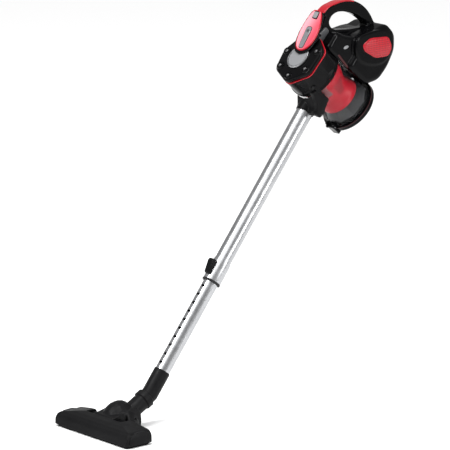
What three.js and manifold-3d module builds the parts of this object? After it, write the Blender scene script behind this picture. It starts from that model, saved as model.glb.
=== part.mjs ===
// A corded stick vacuum cleaner: floor head, swivel elbow, telescopic tube, cyclone unit and motor handle.
// Millimetres, +Z up. The nozzle points to -Y and the origin is on the floor, under the middle of the head.
import * as THREE from 'three';
import { mergeVertices } from 'three/addons/utils/BufferGeometryUtils.js';
import Module from 'manifold-3d';

const wasm = await Module();
wasm.setup();

// ---------------------------------------------------------------- driving sizes

const clearance = 0.3;              // between pieces that touch or slide

// Floor head
const headWidth = 238;
const headDepth = 70;
const headFlare = 4;                // lean of the casing's walls
const headCorner = 12;
const casingBottom = 5;             // underside of the casing above the floor
const headWall = 2.4;
const headEndHeight = 30;           // top of the casing at its two ends
const headMidHeight = 41;           // and at the middle
const soleInset = 6;                // sole plate inside the casing's outline
const soleThickness = casingBottom - clearance;
const notchPitch = 39;              // castellated front lip of the sole
const notchWidth = 4;
const mouthLength = 170;
const mouthDepth = 9;
const brushLength = 176;
const brushThickness = 5;
const brushTop = 10;
const brushOffset = 21;             // of each brush strip from the head's middle
const spineHalf = 28;               // half width of the housing round the neck barrel
const spineBack = 78;
const domeTop = 64;
const wheelRadius = 7;
const wheelWidth = 8;
const wheelX = 101;
const pedalWidth = 24;
const pedalShaftY = 25;
const pedalShaftZ = 24;
const pedalShaftRadius = 2.5;
const pinRadius = 4;
const lintLength = 62;
const lintDepth = 9;
const lintX = 52;
const lintY = 6;
const screwX = 104;
const screwY = -14;
const screwRadius = 2.2;

// Neck and elbow
const barrelRadius = 18.5;
const barrelHalf = 23;
const neckRadius = 18;
const neckElevation = 29;           // degrees above the floor
const neckLength = 55;              // from the pivot to the swivel joint
const bendDistance = 74;            // from the pivot to the bend of the elbow
const airRadius = 13.5;
const ringRadius = 20.4;
const pitchDown = 14;               // degrees of neck travel below and above its stored angle
const pitchUp = 30;
const flangeThickness = 2.6;
const elbowWall = 1.2;

// Telescopic tube, with stations measured along its axis from the floor
const tubeLean = 38.12;             // degrees from vertical
const tubeFootY = 71;
const bendStation = 80;
const cuffTop = 133.5;
const cuffDepth = 39.5;
const sealStation = 341.5;
const collarLength = 50;
const tubeTop = 752;
const socketDepth = 17;
const outerTubeRadius = 17.5;
const outerTubeWall = 0.9;
const collarRadius = 19.4;
const innerTubeRadius = 15.75;
const innerTubeWall = 0.8;
const innerOverlap = 85;            // of the inner tube inside the outer one
const rackPitch = 20;
const rackCount = 10;
const rackWidth = 9;
const rackHeight = 5;
const slotHalf = 4;
const latchTravel = 6;

// Hand unit, in its own frame: u along the cyclone's axis from the front disc to the cup lid,
// h up towards the handle, and x to the side.
const handBack = 20.82;             // of the front disc's centre, forward of the tube's top end
const handRise = 117.79;            // and above it
const cycloneDrop = 40.1;           // degrees of the cyclone's axis below the horizontal
const collarStart = 17;
const collarEnd = 65;
const cycloneRadius = 57;
const cycloneWall = 2.4;
const cupRadius = cycloneRadius - 1.5;
const cupWall = 2;
const cupEnd = 180;
const lidEnd = 193;
const lidRadius = cycloneRadius + 3.5;
const discRadius = 26.5;
const capRadius = cycloneRadius - 2;        // at the cap's corners
const trimRadius = cycloneRadius + 0.5;     // at the trim's corners
const trimWidth = 2.2;
const bodyHalf = 50;                // half width of the motor housing
const shellWall = 2.6;
const gripHalf = 11.5;
const panelHalf = 27;
const motorRadius = 34;
const motorCentreU = 141;
const motorCentreH = 113;
const motorLength = 42;
const socketRadius = 19.6;
const lobeRing = cycloneRadius - 16;        // of the bosses round the front disc
const coneWall = 1.8;
const filterRadius = cycloneRadius - 15;
const pleats = 24;
const hingePinRadius = 1.6;
const saddleHalf = 42;
const panelTilt = 7;                // degrees: the panel leans forward as it rises
const crownRadius = 120;            // of the panel's gentle curve across its width
const crownU = 117;
const panelFrom = 13;
const panelTo = 105;
const bezelMargin = 4;
const buttonH = 94;
const lensH = 43;
const canWall = 1.5;
const fanRadius = 20;

const degrees = (angle) => (angle * Math.PI) / 180;

// ---------------------------------------------------------------- finishes

const finish = (colour, roughness, metalness = 0) => ({ colour, roughness, metalness });
const glossBlack = finish('#111112', 0.16);
const satinBlack = finish('#1d1d1e', 0.42);
const matteBlack = finish('#222223', 0.62);
const glossRed = finish('#c8202e', 0.22);
const polishedTube = finish('#d4d5d6', 0.2, 1);
const steel = finish('#a8aaac', 0.35, 1);
const greyPlastic = finish('#8f9092', 0.4);
const smokyClear = finish('#3b3c40', 0.08);
const blackRubber = finish('#18181a', 0.85);
const bristle = finish('#2a2a2c', 0.9);
const redFelt = finish('#8c1f28', 0.95);
const whiteFilter = finish('#e6e4dc', 0.95);
const copper = finish('#a9623a', 0.4, 1);
const boardGreen = finish('#1f5a3c', 0.55);

// ---------------------------------------------------------------- shape helpers

/** A manifold solid of a closed geometry, with its faces turned outwards. */
function solid(geometry) {
  const bare = new THREE.BufferGeometry();
  bare.setAttribute('position', geometry.getAttribute('position').clone());
  bare.setIndex(geometry.index ? geometry.index.clone() : null);
  const merged = mergeVertices(bare, 1e-4);
  const points = merged.getAttribute('position').array;
  const corners = merged.index.array;
  const faces = [];
  let volume = 0;
  const a = new THREE.Vector3();
  const b = new THREE.Vector3();
  const c = new THREE.Vector3();
  for (let i = 0; i < corners.length; i += 3) {
    const [p, q, r] = [corners[i], corners[i + 1], corners[i + 2]];
    if (p === q || q === r || r === p) continue;
    a.fromArray(points, 3 * p);
    b.fromArray(points, 3 * q);
    c.fromArray(points, 3 * r);
    volume += a.dot(b.cross(c));
    faces.push(p, q, r);
  }
  if (volume < 0) faces.reverse();
  const mesh = new wasm.Mesh({
    numProp: 3,
    vertProperties: Float32Array.from(points),
    triVerts: Uint32Array.from(faces),
  });
  return new wasm.Manifold(mesh);
}

/** The geometry of a manifold solid. */
function geometryOf(manifold) {
  const mesh = manifold.getMesh();
  const geometry = new THREE.BufferGeometry();
  geometry.setAttribute('position', new THREE.BufferAttribute(Float32Array.from(mesh.vertProperties), 3));
  geometry.setIndex(new THREE.BufferAttribute(Uint32Array.from(mesh.triVerts), 1));
  geometry.computeVertexNormals();
  return geometry;
}

const join = (first, ...others) => others.reduce((sum, next) => sum.add(next), first);
const cut = (first, ...others) => others.reduce((rest, next) => rest.subtract(next), first);

/** A box from its low corner to its high corner. */
function box(low, high) {
  const size = high.map((value, i) => value - low[i]);
  const geometry = new THREE.BoxGeometry(...size);
  geometry.translate(...low.map((value, i) => value + size[i] / 2));
  return solid(geometry);
}

/** A cylinder along x, y or z from one station to another, about the given centre. */
function rod(axis, radius, from, to, centre = [0, 0, 0], sides = 20) {
  const geometry = new THREE.CylinderGeometry(radius, radius, to - from, sides);
  geometry.translate(0, (from + to) / 2, 0);
  if (axis === 'x') geometry.rotateZ(-Math.PI / 2);
  if (axis === 'z') geometry.rotateX(Math.PI / 2);
  geometry.translate(...centre);
  return solid(geometry);
}

/** A solid turned about x or z from [station, radius] pairs that close on the axis or on themselves. */
function turned(axis, profile, sides = 30) {
  const closed = profile[0][1] === 0 ? profile : [...profile, profile[0]];
  const points = closed.map(([station, radius]) => new THREE.Vector2(radius, station));
  const geometry = new THREE.LatheGeometry(points, sides);
  if (axis === 'x') geometry.rotateZ(-Math.PI / 2);
  if (axis === 'z') geometry.rotateX(Math.PI / 2);
  return solid(geometry);
}

/** A ring turned about x or z, with a plain rectangular section. */
function ring(axis, inner, outer, from, to, sides = 30) {
  return turned(axis, [[from, inner], [to, inner], [to, outer], [from, outer]], sides);
}

/** An outline in its plane pushed out along z, centred on z = 0, with optional bevelled edges. */
function plate(shape, thickness, bevel = 0, curveSegments = 3) {
  const geometry = new THREE.ExtrudeGeometry(shape, {
    depth: thickness - 2 * bevel,
    bevelEnabled: bevel > 0,
    bevelThickness: bevel,
    bevelSize: bevel,
    bevelOffset: -bevel,
    bevelSegments: bevel > 3 ? 2 : 1,
    curveSegments,
    steps: 1,
  });
  geometry.translate(0, 0, bevel - thickness / 2);
  return solid(geometry);
}

/** An outline through the given points, whose corners are rounded by the given radius. */
function roundedOutline(points, radius) {
  const shape = new THREE.Shape();
  const corners = points.map(([x, y]) => new THREE.Vector2(x, y));
  corners.forEach((corner, i) => {
    const before = corners[(i + corners.length - 1) % corners.length];
    const after = corners[(i + 1) % corners.length];
    const reach = Math.min(radius, corner.distanceTo(before) * 0.45, corner.distanceTo(after) * 0.45);
    const start = corner.clone().add(before.clone().sub(corner).setLength(reach));
    const end = corner.clone().add(after.clone().sub(corner).setLength(reach));
    if (i === 0) shape.moveTo(start.x, start.y);
    else shape.lineTo(start.x, start.y);
    shape.quadraticCurveTo(corner.x, corner.y, end.x, end.y);
  });
  shape.closePath();
  return shape;
}

/** A rectangle outline about the middle of the plane, with rounded corners. */
function rectangle(width, height, radius) {
  const [w, h] = [width / 2, height / 2];
  return roundedOutline([[-w, -h], [w, -h], [w, h], [-w, h]], radius);
}

/** An outline in the (y, z) plane pushed out along x between two stations. */
function acrossHead(shape, from, to) {
  const geometry = new THREE.ExtrudeGeometry(shape, { depth: to - from, bevelEnabled: false,
      curveSegments: 5 });
  geometry.applyMatrix4(new THREE.Matrix4().makeBasis(
    new THREE.Vector3(0, 1, 0), new THREE.Vector3(0, 0, 1), new THREE.Vector3(1, 0, 0)));
  geometry.translate(from, 0, 0);
  return solid(geometry);
}

const vacuum = new THREE.Group();

/** Adds a named piece to a group. */
function piece(group, name, manifold, look) {
  const material = new THREE.MeshStandardMaterial({
    color: look.colour,
    roughness: look.roughness,
    metalness: look.metalness,
  });
  const mesh = new THREE.Mesh(geometryOf(manifold), material);
  mesh.name = name;
  group.add(mesh);
}

const sides = [['left', 1], ['right', -1]];

// ---------------------------------------------------------------- frames

const head = new THREE.Group();
vacuum.add(head);

const tube = new THREE.Group();
tube.position.set(0, tubeFootY, 0);
tube.rotation.x = -degrees(tubeLean);
vacuum.add(tube);

// The bend of the elbow lies on the tube's axis, and the neck runs down from it to its pivot in the head.
const bendY = tubeFootY + bendStation * Math.sin(degrees(tubeLean));
const bendZ = bendStation * Math.cos(degrees(tubeLean));
const pivotY = bendY - bendDistance * Math.cos(degrees(neckElevation));
const pivotZ = bendZ - bendDistance * Math.sin(degrees(neckElevation));
const neckLean = 90 - neckElevation;

const neck = new THREE.Group();
neck.position.set(0, pivotY, pivotZ);
neck.rotation.x = -degrees(neckLean);
vacuum.add(neck);

const hand = new THREE.Group();
const drop = degrees(cycloneDrop);
const handY = tubeFootY + tubeTop * Math.sin(degrees(tubeLean)) - handBack;
const handZ = tubeTop * Math.cos(degrees(tubeLean)) + handRise;
hand.position.set(0, handY, handZ);
hand.setRotationFromMatrix(new THREE.Matrix4().makeBasis(
  new THREE.Vector3(0, Math.cos(drop), -Math.sin(drop)),
  new THREE.Vector3(0, Math.sin(drop), Math.cos(drop)),
  new THREE.Vector3(1, 0, 0)));
vacuum.add(hand);

/** A solid in the hand unit's frame that is modelled along the tube's axis in the tube's own frame. */
function tubeToHand(manifold) {
  tube.updateMatrixWorld(true);
  hand.updateMatrixWorld(true);
  const matrix = hand.matrixWorld.clone().invert().multiply(tube.matrixWorld);
  return manifold.transform(matrix.elements);
}

// ---------------------------------------------------------------- floor head

/** The casing's side profile from (y, z) points, drawn in by an inset for its hollow. */
function headSection(inset) {
  const front = -headDepth / 2 + inset;
  const back = headDepth / 2 - inset;
  const top = headMidHeight - inset;
  const bottom = inset > 0 ? casingBottom - 1 : casingBottom;
  const shape = new THREE.Shape();
  shape.moveTo(front, bottom);
  shape.lineTo(front + headFlare, casingBottom + 14);
  shape.quadraticCurveTo(front + headFlare + 5, top - 5, headDepth * 0.24, top);
  shape.quadraticCurveTo(back - headFlare - 2, top - 1, back - headFlare, casingBottom + 18);
  shape.lineTo(back, bottom);
  shape.closePath();
  return shape;
}

/** The casing's front view: low at the ends and arched towards the middle. */
function headArch(inset) {
  const half = headWidth / 2 - inset;
  const shape = new THREE.Shape();
  shape.moveTo(-half, 0);
  shape.lineTo(half, 0);
  shape.lineTo(half, casingBottom);
  shape.lineTo(half - headFlare, headEndHeight - 6 - inset);
  shape.quadraticCurveTo(half - headFlare - 2, headEndHeight - inset, half - 16, headEndHeight + 1 - inset);
  shape.quadraticCurveTo(headWidth * 0.2, headMidHeight - inset, 0, headMidHeight + 1 - inset);
  shape.quadraticCurveTo(-headWidth * 0.2, headMidHeight - inset, 16 - half, headEndHeight + 1 - inset);
  shape.quadraticCurveTo(headFlare + 2 - half, headEndHeight - inset, headFlare - half,
      headEndHeight - 6 - inset);
  shape.lineTo(-half, casingBottom);
  shape.lineTo(-half, 0);
  shape.closePath();
  return shape;
}

/** The cross bar of the casing, solid, drawn in by an inset. */
function headBar(inset) {
  const plan = rectangle(headWidth - 2 * inset, headDepth - 2 * inset, headCorner - inset);
  const footprint = plate(plan, 2 * headMidHeight);
  const section = acrossHead(headSection(inset), -headWidth / 2, headWidth / 2);
  const archGeometry = new THREE.ExtrudeGeometry(headArch(inset), { depth: headDepth,
      bevelEnabled: false, curveSegments: 5 });
  archGeometry.translate(0, 0, -headDepth / 2);
  archGeometry.rotateX(Math.PI / 2);
  return footprint.intersect(section).intersect(solid(archGeometry));
}

/** The dome over the airway, drawn in by an inset. */
function dome(inset) {
  const geometry = new THREE.SphereGeometry(1, 22, 12);
  geometry.scale(38 - inset, 44 - inset, domeTop - 10 - inset);
  geometry.translate(0, 42, 10);
  return solid(geometry);
}

const domeFloor = casingBottom;
const aboveFloor = box([-200, -200, domeFloor], [200, 200, 200]);

const spineShape = new THREE.Shape();
spineShape.moveTo(2, casingBottom);
spineShape.lineTo(2, headMidHeight - 1);
spineShape.lineTo(pivotY + 2, pivotZ + 25);
spineShape.quadraticCurveTo(spineBack - 6, pivotZ + 22, spineBack - 2, pivotZ + 7);
spineShape.quadraticCurveTo(spineBack + 1, 16, spineBack - 5, casingBottom);
spineShape.closePath();

/** The space that the neck sweeps as it pitches, cut out of the casing. */
function neckSweep() {
  const angles = [-pitchDown, 0, pitchUp / 3, (2 * pitchUp) / 3, pitchUp];
  const arms = angles.map((angle) => rod('z', neckRadius + 1.2, 0, 90)
    .rotate([-(neckLean - angle), 0, 0])
    .translate([0, pivotY, pivotZ]));
  return join(rod('x', barrelRadius + 0.8, -barrelHalf - 0.6, barrelHalf + 0.6, [0, pivotY, pivotZ]),
      ...arms);
}

const pedalInner = spineHalf + 2;

/** The well in the casing for one pedal, grown by a wall where it is closed off from the hollow below. */
function pedalWell(side, wall = 0) {
  const from = (side > 0 ? pedalInner : -pedalInner - pedalWidth) - 0.8 - wall;
  return box([from, 1 - wall, 17 - wall], [from + pedalWidth + 1.6 + 2 * wall, headDepth / 2 + 1, 60]);
}

const pinHole = (extra) => rod('x', pinRadius + extra, -spineHalf - 4, spineHalf + 4, [0, pivotY,
    pivotZ], 20);

let headCover = join(headBar(0), dome(0).intersect(aboveFloor), acrossHead(spineShape, -spineHalf,
    spineHalf));
const hollow = cut(
  join(headBar(headWall), dome(headWall).intersect(box([-200, -200, 0], [200, 62, 200]))),
  ...sides.map(([, side]) => pedalWell(side, headWall)));
headCover = cut(
  headCover,
  hollow,
  box([-barrelHalf - 0.6, 20, 0], [barrelHalf + 0.6, spineBack - 3, 40]),
  neckSweep(),
  pinHole(clearance),
  rod('x', pedalShaftRadius + clearance, -70, 70, [0, pedalShaftY, pedalShaftZ], 16),
  ...sides.map(([, side]) => pedalWell(side)),
);

const soleWidth = headWidth - 2 * soleInset;
const soleDepth = headDepth - 2 * soleInset;
const wheelY = headDepth / 2 - 15;

/** The sole plate with its mouth, brush slots, wheel wells, lint recesses and castellated front lip. */
function solePlate() {
  const outline = rectangle(soleWidth, soleDepth, headCorner - soleInset);
  let sole = plate(outline, soleThickness).translate([0, 0, soleThickness / 2]);
  sole = join(sole, box([2 - spineHalf, soleDepth / 2 - 4, 1.6], [spineHalf - 2, spineBack - 8,
      soleThickness]));
  const cuts = [box([-mouthLength / 2, -14, -1], [mouthLength / 2, mouthDepth - 14, 9])];
  for (const y of [-brushOffset - 1, brushOffset - 2]) {
    const half = brushLength / 2 + clearance;
    const depth = brushThickness / 2 + clearance;
    cuts.push(box([-half, y - depth, -1], [half, y + depth, 9]));
  }
  for (const [, side] of sides) {
    const [x, w] = [side * wheelX, wheelWidth / 2 + 0.6];
    cuts.push(box([x - w, wheelY - wheelRadius - 1, -1], [x + w, wheelY + wheelRadius + 1, 9]));
    const [lx, half] = [side * lintX, lintLength / 2 + clearance];
    cuts.push(box([lx - half, lintY - lintDepth / 2 - clearance, -1], [lx + half,
        lintY + lintDepth / 2 + clearance, 1]));
    cuts.push(rod('z', screwRadius + clearance, -1, 9, [side * screwX, screwY, 0], 16));
    cuts.push(rod('z', 4.2 + clearance, -1, 2.2, [side * screwX, screwY, 0], 16));
  }
  const notches = Math.floor((soleWidth / 2 - 8) / notchPitch);
  for (let i = -notches; i <= notches; i += 1) {
    const x = i * notchPitch;
    cuts.push(box([x - notchWidth / 2, -soleDepth, -1], [x + notchWidth / 2, 3 - soleDepth / 2, 3.4]));
  }
  return cut(sole, ...cuts);
}

/** One brush strip: bristles in a stiff backing, standing in its slot of the sole. */
function brushStrip(y) {
  const half = brushLength / 2;
  const depth = brushThickness / 2;
  return box([-half, y - depth, 0.4], [half, y + depth, brushTop]);
}

/** The carrier that joins both brush strips to the pedal. */
function brushCarrier() {
  const [front, back] = [-brushOffset - 4, brushOffset + 1];
  const frame = box([-60, front, brushTop + clearance], [60, back, brushTop + 3]);
  return cut(frame, box([-54, front + 6, 0], [54, back - 6, 20]));
}

/** A pedal plate with its hub on the pedal shaft. */
function pedal(side) {
  const outline = new THREE.Shape();
  outline.moveTo(pedalShaftY + 5, pedalShaftZ);
  outline.absarc(pedalShaftY, pedalShaftZ, 5, 0, -Math.PI * 0.75, true);
  outline.lineTo(4, 24);
  outline.quadraticCurveTo(2.5, 26, 4, 28.5);
  outline.lineTo(17, 34);
  outline.quadraticCurveTo(28, 36, pedalShaftY + 5, pedalShaftZ);
  const from = side > 0 ? pedalInner : -pedalInner - pedalWidth;
  const plateSolid = acrossHead(outline, from, from + pedalWidth);
  return cut(plateSolid, rod('x', pedalShaftRadius + 0.15, -70, 70, [0, pedalShaftY, pedalShaftZ], 16));
}

piece(head, 'head_cover', headCover, matteBlack);
piece(head, 'sole_plate', solePlate(), satinBlack);
piece(head, 'brush_front', brushStrip(-brushOffset - 1), bristle);
piece(head, 'brush_rear', brushStrip(brushOffset - 2), bristle);
piece(head, 'brush_carrier', brushCarrier(), satinBlack);
piece(head, 'pedal_shaft', rod('x', pedalShaftRadius, -60, 60, [0, pedalShaftY, pedalShaftZ], 16), steel);
for (const [name, side] of sides) {
  piece(head, `pedal_${name}`, pedal(side), satinBlack);
  const wheel = cut(
    rod('x', wheelRadius, -wheelWidth / 2, wheelWidth / 2, [side * wheelX, wheelY, wheelRadius], 28),
    rod('x', 1.8, -9, 9, [side * wheelX, wheelY, wheelRadius], 16));
  piece(head, `wheel_${name}`, wheel, blackRubber);
  const axle = rod('x', 1.5, -8, 8, [side * wheelX, wheelY, wheelRadius], 12);
  piece(head, `wheel_axle_${name}`, axle, steel);
  const [x, half] = [side * lintX, lintLength / 2];
  const lint = box([x - half, lintY - lintDepth / 2, 0.1], [x + half, lintY + lintDepth / 2, 0.8]);
  piece(head, `lint_strip_${name}`, lint, redFelt);
  const pin = rod('x', pinRadius, side > 0 ? barrelHalf - 7 : -spineHalf,
      side > 0 ? spineHalf : 7 - barrelHalf,
    [0, pivotY, pivotZ], 20);
  piece(head, `pivot_pin_${name}`, pin, satinBlack);
  const screw = join(
    rod('z', screwRadius, 0.6, 13, [side * screwX, screwY, 0], 12),
    rod('z', 4.2, 0.4, 1.9, [side * screwX, screwY, 0], 12));
  piece(head, `sole_screw_${name}`, screw, steel);
}

// ---------------------------------------------------------------- neck, swivel ring and elbow

let neckBody = join(
  rod('x', barrelRadius, -barrelHalf, barrelHalf, [0, 0, 0], 28),
  rod('z', neckRadius, 0, neckLength, [0, 0, 0], 28));
neckBody = cut(
  neckBody,
  rod('z', airRadius, 0, 90),
  solid(new THREE.SphereGeometry(airRadius, 14, 8)),
  rod('z', airRadius, 0, 60).rotate([-(neckLean + 25 + 90), 0, 0]),
  rod('x', pinRadius + clearance, barrelHalf - 8, 60, [0, 0, 0], 20),
  rod('x', pinRadius + clearance, -60, 8 - barrelHalf, [0, 0, 0], 20),
);
piece(neck, 'neck', neckBody, matteBlack);

const flangeEnd = neckLength + clearance + flangeThickness;
const elbowRadius = innerTubeRadius + clearance + elbowWall;
piece(neck, 'swivel_ring', turned('z', [
  [neckLength - 5, neckRadius + clearance], [flangeEnd + clearance, neckRadius + clearance],
  [flangeEnd + clearance, elbowRadius + clearance], [flangeEnd + 7, elbowRadius + clearance],
  [flangeEnd + 7, ringRadius - 1.5], [flangeEnd + 5.5, ringRadius],
  [neckLength - 3.5, ringRadius], [neckLength - 5, ringRadius - 1.5],
]), matteBlack);

// The elbow is modelled in the neck's frame: its bend is bendDistance up the neck's axis.
const bendTurn = neckLean - tubeLean;
const alongTube = (manifold) => manifold.rotate([bendTurn, 0, 0]).translate([0, 0, bendDistance]);
const cuffLength = cuffTop - bendStation;
let elbow = join(
  rod('z', elbowRadius, neckLength + clearance, bendDistance, [0, 0, 0], 28),
  rod('z', neckRadius - 0.3, neckLength + clearance, flangeEnd, [0, 0, 0], 28),
  solid(new THREE.SphereGeometry(elbowRadius, 20, 12).translate(0, 0, bendDistance)),
  alongTube(rod('z', elbowRadius, 0, cuffLength, [0, 0, 0], 28)),
);
elbow = cut(
  elbow,
  rod('z', airRadius, 0, bendDistance),
  solid(new THREE.SphereGeometry(airRadius, 14, 8).translate(0, 0, bendDistance)),
  alongTube(rod('z', airRadius, 0, cuffLength + 1)),
  alongTube(rod('z', innerTubeRadius + clearance, cuffLength - cuffDepth, cuffLength + 1, [0, 0, 0], 28)),
);
piece(neck, 'elbow', elbow, matteBlack);

// ---------------------------------------------------------------- telescopic tube

const innerBottom = cuffTop - cuffDepth + 1;
const innerTop = sealStation + innerOverlap;
let innerTube = ring('z', innerTubeRadius - innerTubeWall, innerTubeRadius, innerBottom, innerTop, 28);
for (let i = 0; i < rackCount; i += 1) {
  const z = sealStation - 14 - i * rackPitch;
  innerTube = cut(innerTube, box(
    [-rackWidth / 2, -innerTubeRadius - 2, z - rackHeight / 2],
    [rackWidth / 2, -innerTubeRadius + 4, z + rackHeight / 2]));
}
piece(tube, 'inner_tube', innerTube, polishedTube);

const collarTop = sealStation + collarLength;
const slotFrom = sealStation + 14;
const slotTo = sealStation + 38;
const outerInside = outerTubeRadius - outerTubeWall;
const collarInside = collarRadius - outerTubeWall;
let outerTube = turned('z', [
  [sealStation + 4, collarInside], [collarTop - 6, collarInside],
  [collarTop + 4, outerInside], [tubeTop + socketDepth, outerInside],
  [tubeTop + socketDepth, outerTubeRadius], [collarTop + 4.5, outerTubeRadius],
  [collarTop - 5.5, collarRadius], [sealStation + 4, collarRadius],
], 28);
outerTube = cut(outerTube, box([-slotHalf, -collarRadius - 3, slotFrom], [slotHalf, 5 - collarRadius,
    slotTo]));
piece(tube, 'outer_tube', outerTube, polishedTube);

const sleeveInside = innerTubeRadius + clearance;
const sleeveOutside = collarInside - clearance;
const sleeve = cut(
  ring('z', sleeveInside, sleeveOutside, sealStation + 4.5, collarTop - 7, 28),
  box([-slotHalf, -collarRadius - 3, slotFrom], [slotHalf, 1 - sleeveInside, slotTo]));
piece(tube, 'slide_sleeve', sleeve, satinBlack);
piece(tube, 'seal_ring', turned('z', [
  [sealStation, sleeveInside], [sealStation + 4 - clearance, sleeveInside],
  [sealStation + 4 - clearance, collarRadius + 0.6], [sealStation + 1, collarRadius + 0.6],
  [sealStation, collarRadius],
], 28), blackRubber);

// The latch slider is a wedge that stands proud of the collar's front, highest at its upper end.
const latchShape = new THREE.Shape();
const latchFoot = collarRadius + clearance;
latchShape.moveTo(latchFoot - 0.2, sealStation + 11);
latchShape.lineTo(latchFoot + 4.5, sealStation + 13);
latchShape.lineTo(latchFoot + 11, sealStation + 38);
latchShape.lineTo(latchFoot + 9, sealStation + 43);
latchShape.lineTo(latchFoot - 0.2, sealStation + 43);
latchShape.closePath();
const latchGeometry = new THREE.ExtrudeGeometry(latchShape, {
  depth: 14, bevelEnabled: true, bevelThickness: 1.2, bevelSize: 1.2, bevelOffset: -1.2, bevelSegments: 1,
});
latchGeometry.applyMatrix4(new THREE.Matrix4().makeBasis(
  new THREE.Vector3(0, -1, 0), new THREE.Vector3(0, 0, 1), new THREE.Vector3(-1, 0, 0)));
latchGeometry.translate(7, 0, 0);
const latchButton = join(
  cut(solid(latchGeometry), rod('z', latchFoot, 0, 900, [0, 0, 0], 28)),
  box([0.4 - slotHalf, -collarRadius - 2, slotFrom + latchTravel + 0.5],
    [slotHalf - 0.4, -sleeveInside - 0.6, slotTo - 0.5]));
piece(tube, 'latch_button', latchButton, satinBlack);

// ---------------------------------------------------------------- cyclone

const capCorners = [[-88, 1.06], [-31, 1.06], [27, 1.1], [74, 1.06], [121, 1.0], [168, 0.98], [216, 1.06]];
/** The cap's outline: flats between seven rounded corners that lie at the given distance from the axis. */
function capOutline(reach, corner) {
  const points = capCorners.map(([angle, share]) => [
    -share * reach * Math.cos(degrees(angle)), share * reach * Math.sin(degrees(angle))]);
  return roundedOutline(points, corner);
}

/** A plate in the (h, x) plane of the hand unit, from one station to another. */
function crossPlate(shape, from, to, bevel = 0) {
  return plate(shape, to - from, bevel).rotate([0, 90, 0]).translate([(from + to) / 2, 0, 0]);
}

const trimStart = collarStart - trimWidth - clearance;
const capBack = trimStart - clearance;

let frontCap = crossPlate(capOutline(capRadius, 20), 3, capBack, 4);
for (const [lobeAngle] of capCorners) {
  const angle = degrees(90 - lobeAngle);
  const lobe = turned('x', [[1.2, 0], [1.2, 6], [2.6, 8.6], [6, 9.5], [6, 0]], 12)
    .translate([0, lobeRing * Math.cos(angle), lobeRing * Math.sin(angle)]);
  frontCap = frontCap.add(lobe);
}
frontCap = cut(frontCap, rod('x', discRadius + clearance, -5, 4.5, [0, 0, 0], 28), rod('x', 45, 8, 30));
piece(hand, 'front_cap', frontCap, glossBlack);
piece(hand, 'cap_disc', turned('x', [[0, 0], [0, discRadius - 1], [1, discRadius], [4.2, discRadius],
    [4.2, 0]], 28),
  greyPlastic);
piece(hand, 'trim_ring', cut(crossPlate(capOutline(trimRadius, 20), trimStart, collarStart - clearance),
  rod('x', 48, -5, 30)), glossRed);

// Tube axis in the hand unit's frame.
const roundInlet = rod('z', socketRadius, tubeTop - 3, tubeTop + 22, [0, 0, 0], 28);
const ductSide = roundedOutline(
  [[38, -38], [60, -47], [73, -62], [81, -70], [84, -82], [99, -82], [102, -66], [91, -28], [60, -28]], 7);
const ductSection = roundedOutline(
  [[19, -28], [19, -82], [-22, -82], [-38, -71], [-45, -52], [-45, -28]], 9);
const duct = plate(ductSide, 120).intersect(crossPlate(ductSection, 36, 114));
const inletHollow = join(
  rod('z', outerTubeRadius + clearance, tubeTop - 20, tubeTop + socketDepth + clearance, [0, 0, 0], 28),
  rod('z', airRadius, tubeTop, tubeTop + 90));

const collarFace = cycloneRadius - 3;
let collar = turned('x', [
  [collarStart, collarFace - cycloneWall], [collarStart, collarFace], [collarEnd - 15, collarFace],
  [collarEnd - 9, cycloneRadius], [collarEnd, cycloneRadius], [collarEnd, collarFace - cycloneWall],
], 36);
collar = join(collar, ring('x', 34, collarFace - 1, 40, 43, 36));
collar = join(collar, tubeToHand(roundInlet), duct);
collar = cut(
  collar,
  rod('x', collarFace - cycloneWall, collarStart - 5, 40, [0, 0, 0], 36),
  rod('x', collarFace - cycloneWall, 43, collarEnd, [0, 0, 0], 36),
  rod('x', cupRadius + clearance, collarEnd - 8, 240, [0, 0, 0], 36),
  rod('x', cycloneRadius, collarEnd + 0.01, 240, [0, 0, 0], 36),
  rod('x', 34, 30, 50),
  tubeToHand(inletHollow),
  box([0, cycloneRadius + 0.5, -80], [200, 200, 80]),
);
piece(hand, 'cyclone_collar', collar, glossBlack);

const cupStart = collarEnd - 7;
const inletWindow = tubeToHand(rod('z', airRadius - 1, tubeTop, tubeTop + 60));
const dustCup = cut(
  ring('x', cupRadius - cupWall, cupRadius, cupStart, cupEnd - clearance, 36),
  inletWindow);
piece(hand, 'dust_cup', dustCup, smokyClear);

// Inner cyclone: a flared cone, a waist with the screen, and a bell skirt.
const coneOuter = [[48, -8], [84, -8.5], [113, -19.5], [128, -19], [141, -13.5], [149, -13.5]]
  .map(([u, step]) => [u, cycloneRadius + step]);
const coneInner = coneOuter.map(([u, r]) => [u, r - coneWall]).reverse();
piece(hand, 'cyclone_cone', turned('x', [...coneOuter, ...coneInner], 30), glossRed);
const screenRadius = cycloneRadius - 27;
piece(hand, 'cone_screen', ring('x', screenRadius, screenRadius + 1.2, 46, 140, 28), steel);

const filterShape = new THREE.Shape();
for (let i = 0; i < 2 * pleats; i += 1) {
  const angle = (i * Math.PI) / pleats;
  const r = i % 2 ? filterRadius - 5 : filterRadius;
  if (i === 0) filterShape.moveTo(r, 0);
  else filterShape.lineTo(r * Math.cos(angle), r * Math.sin(angle));
}
filterShape.closePath();
piece(hand, 'pleated_filter', crossPlate(filterShape, 19, 36), whiteFilter);
piece(hand, 'filter_frame', ring('x', filterRadius + 0.5, filterRadius + 6, 18, 38, 28), satinBlack);

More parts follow.
